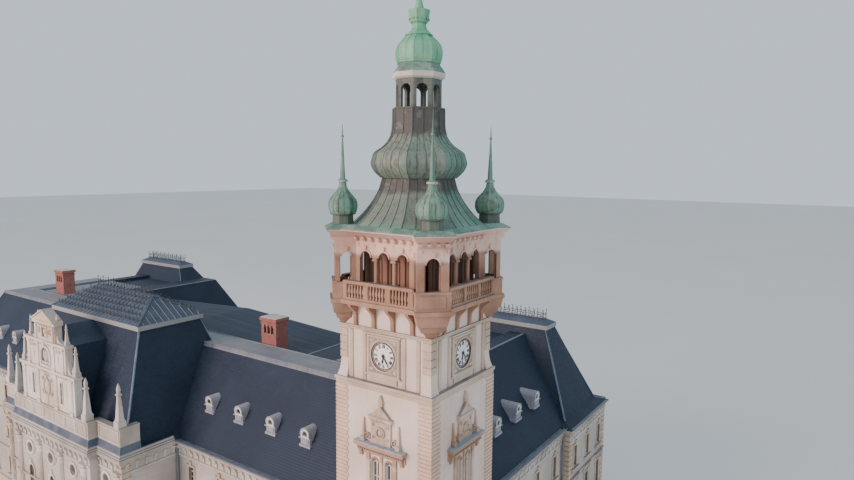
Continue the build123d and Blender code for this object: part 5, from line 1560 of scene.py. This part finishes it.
@dataclass
class RoofTrim:
    """Hip and ridge covers, seams, snow guards, dormer fronts and crest scrolls.

    The front pavilion's low zinc roof goes from its eaves up to a short ridge: cap_half and cap_y are
    its plan, cap_ridge_half half of the ridge's length and cap_z the two levels.
    """

    cap_half: float = 3.805
    cap_y: Pair = (-2.626, 0.676)
    cap_ridge_half: float = 2.39
    cap_ridge_y: float = -0.975
    cap_ridge_flat: float = 0.15
    cap_z: Pair = (12.45, 13.40)
    pitch: float = 0.31
    dormer_arch_z: float = 9.18
    foot_z: float = 7.605

    def cover(self, a: Sequence[float], b: Sequence[float], width: float = 0.10,
              high: float = 0.035) -> Shape:
        """A rolled metal cover along a straight hip or ridge, with a half round section.

        Args:
            a: Its start.
            b: Its end.
            width: Its width.
            high: Its height.

        Returns:
            The cover.
        """
        a, b = np.asarray(a, float), np.asarray(b, float)
        along = (b - a) / np.linalg.norm(b - a)
        side = np.cross(along, (0, 0, 1))
        side /= np.linalg.norm(side)
        up = np.cross(side, along)
        turn = np.linspace(0, np.pi, 7)[:, None]
        ring = np.vstack([side * np.cos(turn) * width / 2 + up * np.sin(turn) * high, [-up * 0.03]])
        return skin([a + ring, b + ring])

    def hips(self, x: Pair, y: Pair, top_x: Pair, top_y: Pair, z: Pair) -> list[Shape]:
        """Covers on the four hips of a mansard, from its foot's corners to its top's."""
        return [self.cover((foot_x, foot_y, z[0]), (end_x, end_y, z[1]))
                for foot_x, end_x in zip(x, top_x) for foot_y, end_y in zip(y, top_y)]

    def dormer_front(self) -> Shape:
        """A dormer's white lining: a round arched frame in the upper half of the opening.

        Returns:
            The outer and the inner frame.
        """
        opening = Row(9.035, 9.33, 0.33, True)
        outer = rim([(-0.045, 0.0), (-0.045, 0.03), (0.03, 0.035), (0.04, 0.0)], opening.path(), True)
        inner = [(-0.012, -0.03), (-0.012, 0.03), (0.029, 0.055), (0.029, -0.03)]
        return outer + rim(inner, opening.path(-0.03, 0.06), True)

    def dormer_hood(self) -> Shape:
        """A dormer's zinc: a roll around the arch, and an apron with ears under the frame.

        Returns:
            The roll and the apron.
        """
        over = arc(np.linspace(np.pi + 0.45, -0.45, 17), 0.24, 0.24, z=self.dormer_arch_z)
        roll = rim([(-0.006, -0.02), (0.05, -0.02), (0.065, 0.015), (0.05, 0.045), (-0.006, 0.045)], over)
        apron = block(0, 0.20, (-0.035, 0.02), (8.80, 9.0), 0.01)
        return roll + apron + block(0, 0.31, (-0.06, 0.02), (8.985, 9.012), 0.005)

    def seams(self, lower: np.ndarray, upper: np.ndarray) -> Shape:
        """Standing seams between matching points of a lower and an upper edge.

        Args:
            lower: Their feet, shaped (count, 3).
            upper: Their tops.

        Returns:
            The seams.
        """
        along = upper - lower
        along /= np.linalg.norm(along, axis=1, keepdims=True)
        side = np.cross(along, (0, 0, 1.0))
        side /= np.linalg.norm(side, axis=1, keepdims=True)
        up = np.cross(side, along)
        section = ((1, -0.01), (1, 0.03), (-1, 0.03), (-1, -0.01))
        rings = np.stack([side * 0.01 * u + up * v for u, v in section], 1)
        return together([skin([a + ring, b + ring]) for a, b, ring in zip(lower, upper, rings)])

    def slope(self, ends: Pair, tops: Pair, foot: float, ridge: float, swap: bool) -> Shape:
        """Seams up one slope of the low roof, cut off where they meet a hip.

        A seam at t climbs by the share min((t - start) / (top0 - start), (end - t) / (end - top1)) of
        the way, 1 at most.

        Args:
            ends: Where the slope starts and ends along the eaves.
            tops: Where its ridge does.
            foot: The eaves' distance across.
            ridge: The ridge's distance across.
            swap: True if the eaves run along y.

        Returns:
            The seams.
        """
        t = np.arange(ends[0] + 0.3, ends[1] - 0.1, self.pitch)
        share = np.minimum((t - ends[0]) / (tops[0] - ends[0]), (ends[1] - t) / (ends[1] - tops[1]))
        order = [1, 0, 2] if swap else [0, 1, 2]
        low, rise = self.cap_z[0], np.ptp(self.cap_z)
        lower, upper = (np.column_stack([t, foot + (ridge - foot) * s, low + rise * s])
                        for s in (np.zeros(len(t)), np.clip(share, 0, 1)))
        return self.seams(lower[:, order], upper[:, order])

    def cap_dress(self) -> Shape:
        """Seams and hip covers on the low zinc roof of the front pavilion.

        Returns:
            The seams and covers.
        """
        x, tops = ((AXIS_X - half, AXIS_X + half) for half in (self.cap_half, self.cap_ridge_half))
        middle, flat, (low, high) = self.cap_ridge_y, self.cap_ridge_flat, self.cap_z
        ridges = (middle - flat, middle + flat)
        parts = [self.slope(x, tops, foot, ridge, False) for foot, ridge in zip(self.cap_y, ridges)]
        for foot, end in zip(x, tops):
            parts.append(self.slope(self.cap_y, (middle, middle), foot, end, True))
            parts += [self.cover((foot, y, low), (end, middle, high)) for y in self.cap_y]
        return together(parts)

    def snow_hooks(self) -> Shape:
        """Rows of small iron hooks with cross bars on the low roof, each row tied by two rails.

        Returns:
            The hooks and rails.
        """
        pin = turned([(0.013, -0.02), (0.013, 0.15), (0.03, 0.17), (0.002, 0.21)], 5)
        pin += block(0, 0.05, (-0.01, 0.01), (0.10, 0.125))
        parts = []
        for foot, flat in zip(self.cap_y, (-self.cap_ridge_flat, self.cap_ridge_flat)):
            for share in (0.14, 0.32, 0.50, 0.68, 0.86):
                half = self.cap_half + (self.cap_ridge_half - self.cap_half) * share - 0.15
                y = foot + (self.cap_ridge_y + flat - foot) * share
                z = self.cap_z[0] + np.ptp(self.cap_z) * share
                x = np.linspace(AXIS_X - half, AXIS_X + half, round(2 * half / self.pitch) + 1)
                parts.append(pin.at([(place, y, z) for place in x]))
                rail = block(AXIS_X, half, (y - 0.007, y + 0.007), (z, z + 0.014))
                parts.append(rail.at([(0, 0, 0.045), (0, 0, 0.09)]))
        return together(parts)

    def crest(self, x: Pair, y: float, z: float) -> Shape:
        """Scrolls between the posts of a cresting: circles of thin bar with a spike over each.

        Args:
            x: Where it starts and ends.
            y: Its place across.
            z: Its foot.

        Returns:
            The scrolls and spikes, with taller spikes between them.
        """
        count = max(2, round((x[1] - x[0]) / 0.48))
        ends = [(place, y, z) for place in np.linspace(*x, 2 * count + 1)]
        ring = hoop(0.085, strip(-0.008, 0.008, 0.008, -0.008), 0, 0.15, 12)
        spike = turned([(0.014, 0.22), (0.010, 0.36), (0.022, 0.38), (0.002, 0.46)], 6)
        tall = turned([(0.012, 0.30), (0.012, 0.40), (0.028, 0.43), (0.002, 0.52)], 6)
        return (ring + spike).at(ends[1::2]) + tall.at(ends[::2])

    def covers(self) -> list[Shape]:
        """Covers on the hips of the three mansards and on the front roof's left end.

        Returns:
            One shape for each hip.
        """
        foot = self.foot_z
        mansards = (
            ((-21.665, -11.875), (-4.095, 2.145), (-20.465, -13.075), (-2.516, 0.566), (foot, 12.24)),
            ((-8.09, 1.735), (9.69, 13.63), (-6.335, -0.02), (11.174, 12.13), (foot, 11.44)),
            ((-35.275, -25.45), (8.26, 13.63), (-32.875, -28.27), (9.85, 10.80), (foot, 11.94)),
        )
        hips = [cover for mansard in mansards for cover in self.hips(*mansard)]
        return [*hips, self.cover((-35.276, -1.716, EAVES_Z), (-33.735, 0.565, 11.115))]

    def rolls(self) -> list[Shape]:
        """Rolls along the ridges and the upper edges of the slopes.

        Returns:
            One shape for each roll.
        """
        z, left, right = RIDGE_Z, -33.7, -2.0
        lines = [((left, -21.0), RIDGE_Y, 0.05), ((-12.9, right), RIDGE_Y, 0.05),
                 ((left, right), 1.905, 0.04)]
        sides = [(-1.112, 10.9, 0.05), (-7.312, 12.2, 0.04), (-26.228, 11.2, 0.04)]
        return [*[self.cover((x[0], y, z), (x[1], y, z), 0.09, high) for x, y, high in lines],
                *[self.cover((x, 2.0, z), (x, end, z), 0.09, high) for x, end, high in sides]]

    def build(self) -> None:
        """Make the trim of every roof."""
        make("hip_covers", LEAD, "zinc", *self.covers())
        make("ridge_rolls", ZINC, "zinc", *self.rolls())
        make("cap_seams", CAP_ZINC, "zinc", self.cap_dress())
        make("snow_hooks", IRON, "iron", self.snow_hooks())
        ridge = (AXIS_X - self.cap_ridge_half, AXIS_X + self.cap_ridge_half)
        crests = [self.crest(ridge, self.cap_ridge_y, self.cap_z[1])]
        for x, lines, z in (((-6.055, -0.30), (11.454, 11.85), 11.845),
                            ((-32.595, -28.55), (10.13, 10.52), 12.35)):
            crests += [self.crest(x, y, z) for y in lines]
        make("crest_scrolls", IRON, "iron", *crests)
        fronts = [(-10.413 + PAV_BAY * i, -0.982, 0) for i in range(4)]
        fronts += [(-31.0 + PAV_BAY * i, -0.982, 0) for i in range(5)]
        sides = frames_at([(1.002, 4.329 + 1.843 * i, 0) for i in range(3)], math.pi / 2)
        spots = np.concatenate([frames_at(fronts), sides])
        make("dormer_fronts", WHITE_PAINT, "zinc", self.dormer_front().placed(spots))
        light = prism(Row(9.06, 9.295, 0.26, True).outline(), (0.015, 0.05))
        make("dormer_lights", PANE, "glass", light.placed(spots))
        make("dormer_hoods", DORMER_ZINC, "zinc", self.dormer_hood().placed(spots))


class Carving:
    """Volutes, bosses and fruit, carved on a wall that looks to -y."""

    def boss(self, across: float, up: float, rise: float) -> Shape:
        """A domed oval: ring k has the size s and stands rise * sqrt(1 - s * s) before the wall.

        Args:
            across: Half its width.
            up: Half its height.
            rise: How far its middle stands out.

        Returns:
            The boss.
        """
        size = np.array([1.0, 1.0, 0.92, 0.75, 0.5, 0.2])
        depth = [-0.02, 0.0, *(rise * np.sqrt(1 - size[2:] ** 2))]
        return skin([arc(circle(18), s * across, s * up, y=-d) for s, d in zip(size, depth)])

    def scroll(self, radius: float, turns: float = 1.3) -> Shape:
        """A volute: its bar follows r = radius * (1 - 0.72 t) at the angle 2 pi turns t, round a boss.

        Args:
            radius: Its outer radius.
            turns: How many times it goes round.

        Returns:
            The volute, thinner towards its face.
        """
        t = np.linspace(0, 1, 24)
        r = radius * (1 - 0.72 * t)
        w, rise = 0.13 * radius, 0.30 * radius
        section = [(-w, -0.01), (w, -0.01), (w * 0.6, rise), (-w * 0.6, rise)]
        bar = rim(section, arc(t * turns * 2 * np.pi, r, r))
        return bar + self.boss(0.20 * radius, 0.20 * radius, 0.25 * radius)

    def pair(self, radius: float, x: float, z: float, y: float = 0.0) -> Shape:
        """Two volutes that mirror each other about the middle."""
        return self.scroll(radius).at([(x, y, z)]).mirrored()

    def pendant(self, top: float, length: float) -> Shape:
        """A hanging string of fruit: bosses that grow and shrink again down its length.

        Args:
            top: Its highest point.
            length: How far it hangs down.

        Returns:
            The string.
        """
        share = np.linspace(0.0, 1.0, 6)
        sizes = 0.035 + 0.035 * np.sin(np.pi * (share * 0.8 + 0.15))
        return together([self.boss(a, a * 1.1, a * 0.8).at([(0, 0, top - length * v)])
                         for a, v in zip(sizes, share)])

    def cartouche(self) -> Shape:
        """A blank oval shield in a scrolled frame with fruit below it.

        Returns:
            The shield, its frame and its trim.
        """
        frame = rim([(-0.03, 0), (0.03, 0), (0.02, 0.06), (-0.02, 0.06)], arc(circle(32), 0.27, 0.36), True)
        volutes = [self.pair(*size) for size in ((0.12, 0.36, 0.30), (0.13, 0.38, -0.30), (0.08, 0.13, 0.50))]
        knob = self.boss(0.07, 0.09, 0.07).at([(0, 0, 0.47)])
        return together([self.boss(0.24, 0.32, 0.07), frame, *volutes, knob, self.pendant(-0.46, 0.35)])


@dataclass
class FrontGable(Carving):
    """Carved trim of the stepped gable, the parapet and the half columns; x is taken from the axis."""

    front: float = -4.73
    light_x: float = 1.25
    light_z: Pair = (9.05, 10.05)

    def niche(self) -> list[Shape]:
        """The niche with its key, shell and plinth, and the frame of the small panel over it.

        Returns:
            The pieces.
        """
        arch = [(0.0, 0), (0.0, 0.05), (0.05, 0.075), (0.10, 0.05), (0.10, 0)]
        shell = [hoop(r, [(-0.025, 0), (0.025, 0), (0.0, 0.03)], 0.06, 11.03, 24) for r in (0.12, 0.22, 0.32)]
        return [rim(arch, Row(10.64, 11.50, 0.94, True).path()), *shell,
                wedge(0.06, 0.09, 0.11, (11.46, 11.66)),
                rim(strip(0, 0.05, 0.035), Row(11.85, 12.35, 0.52).path()),
                block(0, 0.33, (-0.03, 0.05), (10.66, 10.74), 0.01),
                block(0, 0.38, (-0.09, 0.0), (10.585, 10.64), 0.01)]

    def pilasters(self) -> list[Shape]:
        """Strips with capitals and feet on the gable's three steps.

        Returns:
            The strips of each step.
        """
        low = together([block(0, 0.14, (-0.075, 0), z) for z in ((8.75, 8.89), (10.20, 10.33))])
        low += block(0, 0.06, (-0.055, 0), (9.05, 10.03))
        middle = together([block(0, 0.11, (-0.065, 0), z) for z in ((10.46, 10.56), (11.48, 11.6))])
        return [low.at([(x, 0, 0) for x in (-2.1, -0.8, 0.8, 2.1)]),
                middle.at([(x, 0, 0) for x in (-1.5, -0.72, 0.72, 1.5)]),
                block(0.76, 0.07, (-0.05, 0), (11.74, 12.46)).mirrored()]

    def ornament(self) -> list[Shape]:
        """Cartouche, volutes, fruit, window frames, pediment, dentils and vases.

        Returns:
            The pieces.
        """
        pediment = np.array([(0.98, -0.05, 12.60), (0.0, -0.05, 13.07)])[:, None]
        slab = [(0, 0.02, -0.02), (0, -0.06, 0.0), (0, -0.06, 0.05), (0, 0.40, 0.05), (0, 0.40, -0.02)]
        window = panel(strip(-0.02, 0.03, 0.03), (-0.12, 0.12), self.light_z)
        dentil = block(0, 0.03, (-0.05, 0), (-0.09, -0.02))
        rows = [dentil.at([(x, 0, z) for x in np.arange(-half, half + 0.01, 0.15)])
                for half, z in ((2.25, 10.33), (1.62, 11.60), (0.80, 12.46))]
        vase = turned([(0.05, 0), (0.06, 0.04), (0.03, 0.08), (0.075, 0.17), (0.07, 0.24), (0.03, 0.30),
                       (0.045, 0.33), (0.01, 0.38)])
        vases = vase.at([(x, 0.17, z) for x, z in ((-2.05, 10.45), (2.05, 10.45), (-0.85, 12.58),
                                                   (0.85, 12.58))])
        crown = self.boss(0.11, 0.14, 0.09) + self.pair(0.07, 0.17, 0.02)
        drop = self.pair(0.10, 0.12, 11.36) + self.pendant(11.20, 0.45)
        return [self.cartouche().at([(0, 0, 9.62)]), self.pair(0.16, 0.50, 12.12),
                crown.at([(0, 0.05, 12.12)]), drop.at([(-1.11, 0, 0), (1.11, 0, 0)]),
                self.pendant(9.95, 0.75).at([(-1.68, 0, 0), (1.68, 0, 0)]),
                window.at([(-self.light_x, 0, 0), (self.light_x, 0, 0)]),
                skin(pediment + np.array(slab)).mirrored(), *rows, vases]

    def parapet(self) -> None:
        """Make the cornice over the apron and the framed panels of the parapet."""
        back = FRONT_Y - 0.22
        half = [(PAV_MID_HALF, PAV_MID_Y), (PAV_MID_HALF, PAV_END_Y), (PAV_HALF, PAV_END_Y), (PAV_HALF, back)]
        flat = [(-x, y) for x, y in half[::-1]] + half
        path = [(AXIS_X + x, y, EAVES_Z) for x, y in flat]
        steps = [(0.02, 0.0), (0.175, 0.0), (0.175, 0.05), (0.15, 0.07), (0.15, 0.13), (0.115, 0.17),
                 (0.10, 0.24), (0.02, 0.25)]
        make("apron_cornice", CORNICE_STONE, "sandstone", carried(steps, path, (0, 0, 1)))
        frame, z = strip(-0.02, 0.025, 0.03), (8.08, 8.60)
        middle = [panel(frame, x, z, PAV_MID_Y).mirrored() for x in ((2.45, 3.2), (1.5, 2.35), (0.5, 1.4))]
        panels = [panel(frame, (3.5, 5.0), z, PAV_END_Y).mirrored(), *middle,
                  panel(frame, (-0.4, 0.4), z, PAV_MID_Y)]
        make("parapet_panels", GABLE_STONE, "sandstone", together(panels).at([(AXIS_X, 0, 0)]))

    def half_columns(self) -> None:
        """Make the half columns' capitals, bands and flutes, and the volutes over the hall's windows."""
        column = turned([(0.14, 6.36), (0.17, 6.40), (0.15, 6.46), (0.19, 6.60), (0.17, 6.68)], 14)
        column += turned([(0.132, 3.50), (0.15, 3.52), (0.15, 3.60), (0.132, 3.62)], 14)
        column += block(0, 0.012, (-0.145, -0.12), (3.7, 6.3)).at(np.zeros((7, 3)), np.linspace(-1.2, 1.2, 7))
        columns = column.at([pavilion_spot(x) for x in (-4.85, -2.925, -0.975, 0.975, 2.925, 4.85)])
        swags = self.scroll(0.11, 1.2).at([np.add(pavilion_spot(PAV_BAY * k, 6.30), (shift, 0, 0))
                                           for k in (-2, -1, 0, 1, 2) for shift in (-0.42, 0.42)])
        make("half_column_trim", GABLE_STONE, "sandstone", columns, swags)

    def build(self) -> None:
        """Make everything that is carved on the front pavilion."""
        face = [(AXIS_X, self.front, 0)]
        carving = together([*self.niche(), *self.pilasters(), *self.ornament()])
        make("gable_carving", GABLE_STONE, "sandstone", carving.at(face))
        panes = block(self.light_x, 0.09, (0.045, 0.06), (9.06, 10.04)).mirrored()
        bar = block(self.light_x, 0.09, (0.02, 0.05), (-0.012, 0.012)).mirrored()
        make("gable_lights", PANE, "glass", panes.at(face))
        make("gable_light_bars", WHITE_PAINT, "plaster", bar.at([(0, 0, 9.35), (0, 0, 9.7)]).at(face))
        self.parapet()
        self.half_columns()


@dataclass
class TowerWindow(Carving):
    """Fine trim of the tower's framed double windows, on the front and the right."""

    light_x: float = 0.29
    panel_z: float = 10.75

    def build(self) -> None:
        """Make the lead on the cornice, the arches over the lights and the carving in the panel."""
        y, sides = -SHAFT, QUARTERS[:2]
        lead = block(0, 1.04, (y - 0.26, y), (10.317, 10.335), 0.01)
        lead += block(0, 0.48, (y - 0.15, y), (11.27, 11.285), 0.01)
        make("cornice_lead", HOOD_LEAD, "zinc", lead.placed(sides))
        r = LIGHT.width / 2
        head = arc(np.linspace(np.pi, 0, 13), r, r, 0, y, LIGHT.head - r)
        arch = rim([(0.0, -0.01), (0.0, 0.04), (0.04, 0.04), (0.05, -0.01)], head)
        dentil = block(0, 0.022, (y - 0.20, y), (10.06, 10.105))
        tooth = block(0, 0.02, (y - 0.115, y), (11.10, 11.15))
        wreath = hoop(0.16, [(-0.03, 0), (0.03, 0), (0.02, 0.05), (-0.02, 0.05)], y - 0.07, self.panel_z, 20)
        carving = [arch.at([(-self.light_x, 0, 0), (self.light_x, 0, 0)]), wreath,
                   dentil.at([(x, 0, 0) for x in np.linspace(-0.88, 0.88, 21)]),
                   tooth.at([(x, 0, 0) for x in np.linspace(-0.40, 0.40, 11)]),
                   self.pair(0.14, 0.56, 10.50, y - 0.04), self.pair(0.08, 0.30, 10.97, y - 0.07),
                   self.pair(0.07, 0.28, 10.55, y - 0.07),
                   self.boss(0.11, 0.13, 0.06).at([(0, y - 0.07, self.panel_z)])]
        make("window_carving", WINDOW_STONE, "sandstone", together(carving).placed(sides))


@dataclass
class Chimneys:
    """Brick bands, cap mouldings and vents; the spots are on the chimneys' tops."""

    spots: tuple[tuple[float, float, float], ...] = ((-10.043, 2.48, 12.345), (-29.796, 2.48, 12.637))

    def build(self) -> None:
        """Make the trim of both chimneys."""
        bands = block(0, 0.53, (-0.39, 0.39), (-0.30, -0.24), 0.005)
        bands += block(0, 0.52, (-0.38, 0.38), (-0.90, -0.85), 0.005)
        cap = block(0, 0.52, (-0.38, 0.38), (0, 0.02), 0.01)
        vents = together([block(x, 0.07, (-0.32, -0.295), (-0.74, -0.45), 0.005) for x in (-0.24, 0, 0.24)])
        make("chimney_bands", BRICK, "brick", bands.at(self.spots))
        make("chimney_caps", WHITE_STONE, "sandstone", cap.at(self.spots))
        make("chimney_vents", BLACK_PAINT, "iron", vents.at(self.spots))


NODE_FINISHES: dict[str, Finish] = {name: finish for finish, names in (
    (WALL, "wing_walls pavilion_walls rear_pavilion_walls"),
    (TOWER_WALL, "tower_walls clock_storey_walls"),
    (CUT_STONE, "plinth string_courses entrance_portal tower_mouldings"),
    (CORNICE_STONE, "main_cornice"),
    (WHITE_STONE, "pavilion_half_columns gable_obelisks"),
    (PARAPET_STONE, "gable_parapet"),
    (GABLE_STONE, "stepped_gable"),
    (WINDOW_STONE, "tower_window_surrounds"),
    (RED_STONE, "gallery_corbels gallery_floor gallery_balustrade gallery_piers"),
    (FRIEZE, "gallery_arches"),
    (EAVES_STONE, "tower_eaves_cornice"),
    (SLATE, "front_roof_slopes side_roof_slopes court_roof_slopes slate_deck arm_decks mansard_ends"),
    (SLATE, "mansard_flanks gable_saddle_roof"),
    (ZINC, "ridge_strips"),
    (CAP_ZINC, "mansard_caps"),
    (DORMER_ZINC, "roof_dormers"),
    (ROOF_COPPER, "tower_roof"),
    (BULB_COPPER, "tower_bulb"),
    (DRUM_COPPER, "lantern_posts lantern_arches"),
    (FASCIA, "lantern_cornice"),
    (DOME_COPPER, "lantern_dome tower_finial"),
    (TURRET_COPPER, "corner_turrets"),
    (BRICK, "chimneys"),
    (PANE, "window_glass"),
    (OAK, "entrance_doors"),
    (IRON, "roof_crestings"),
    (ENAMEL, "clock_faces"),
    (FLOOR_STONE, "ground_floor upper_floors"),
) for name in names.split()}


def dress_nodes(nodes: dict[str, bpy.types.Object]) -> None:
    """Give every CAD node its finish, and the clock hands, which have none of their own, black paint.

    Args:
        nodes: The frame's objects by name.
    """
    for name, piece in nodes.items():
        finish = NODE_FINISHES.get(name, BLACK_PAINT)
        piece.data.materials.clear()
        piece.data.materials.append(finish.material())
        log.info("%s: %s", name, finish.name)


@dataclass(frozen=True)
class Studio:
    """The camera at the photograph's angle, a pale floor and soft lights."""

    eye: tuple[float, float, float] = (12.470, -17.641, 19.447)
    yaw: float = 34.393
    pitch: float = 6.5625
    roll: float = 0.5016
    lens: float = 26.611
    floor_half: float = 400.0
    floor_z: float = -0.005

    def camera(self) -> None:
        """Place the camera: it looks along d, with r to its right and u above it, turned by the roll."""
        yaw, pitch, roll = (math.radians(a) for a in (self.yaw, self.pitch, self.roll))
        d = np.array([-math.sin(yaw) * math.cos(pitch), math.cos(yaw) * math.cos(pitch), -math.sin(pitch)])
        r = np.array([math.cos(yaw), math.sin(yaw), 0.0])
        u = np.cross(r, d)
        right = math.cos(roll) * r + math.sin(roll) * u
        up = math.cos(roll) * u - math.sin(roll) * r
        data = bpy.data.cameras.new("camera")
        data.lens, data.sensor_width, data.clip_end = self.lens, 36.0, 1000.0
        made = bpy.data.objects.new("camera", data)
        made.matrix_world = Matrix([*zip(right, up, -d, self.eye), (0, 0, 0, 1)])
        bpy.context.scene.collection.objects.link(made)
        bpy.context.scene.camera = made

    def light(self, name: str, place: Sequence[float], aim: Sequence[float], size: float, power: float,
              colour: str) -> None:
        """One soft square light.

        Args:
            name: Its name.
            place: Where it stands.
            aim: The point that it looks at.
            size: Its side.
            power: Its power in watts.
            colour: Its colour as six hexadecimal digits.
        """
        data = bpy.data.lights.new(name, "AREA")
        data.shape, data.size, data.energy, data.color = "SQUARE", size, power, tone(colour)
        made = bpy.data.objects.new(name, data)
        made.location, made.rotation_mode = place, "QUATERNION"
        made.rotation_quaternion = (Vector(place) - Vector(aim)).to_track_quat("Z", "Y")
        bpy.context.scene.collection.objects.link(made)

    def floor(self) -> None:
        """Make the pale floor, just under the building."""
        g = Graph("floor")
        g.surface(g.mix("DEDDDA", "D6D5D2", g.noise(0.05, 3)), 0.9)
        mesh = bpy.data.meshes.new("floor")
        corners = [(x * self.floor_half, y * self.floor_half, self.floor_z)
                   for x, y in ((-1, -1), (1, -1), (1, 1), (-1, 1))]
        mesh.from_pydata(corners, [], [(0, 1, 2, 3)])
        mesh.materials.append(g.material)
        floor = bpy.data.objects.new("floor", mesh)
        bpy.context.scene.collection.objects.link(floor)

    def build(self) -> None:
        """Make the floor, the sky, the lights and the camera."""
        self.floor()
        world = bpy.data.worlds.new("studio")
        world.use_nodes = True
        sky = world.node_tree.nodes["Background"]
        sky.inputs["Color"].default_value = (*tone("D9E6F2"), 1)
        sky.inputs["Strength"].default_value = 1.0
        bpy.context.scene.world = world
        self.light("key", (-34, -78, 40), (-8, 0, 9), 40, 96000, "FFDCD2")
        self.light("fill", (70, -10, 40), (-8, 2, 9), 50, 9000, "DCE8FA")
        self.camera()


def main() -> None:
    """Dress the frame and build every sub-assembly in order."""
    logging.basicConfig(level=logging.INFO, format="%(message)s")
    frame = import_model()
    dress_nodes(frame["nodes"])
    for part in (Windows(), Quoins(), Clocks(), TowerRoof(), Gallery(), Eaves(), RoofTrim(), FrontGable(),
                 TowerWindow(), Chimneys(), Studio()):
        part.build()


if __name__ == "__main__":
    main()
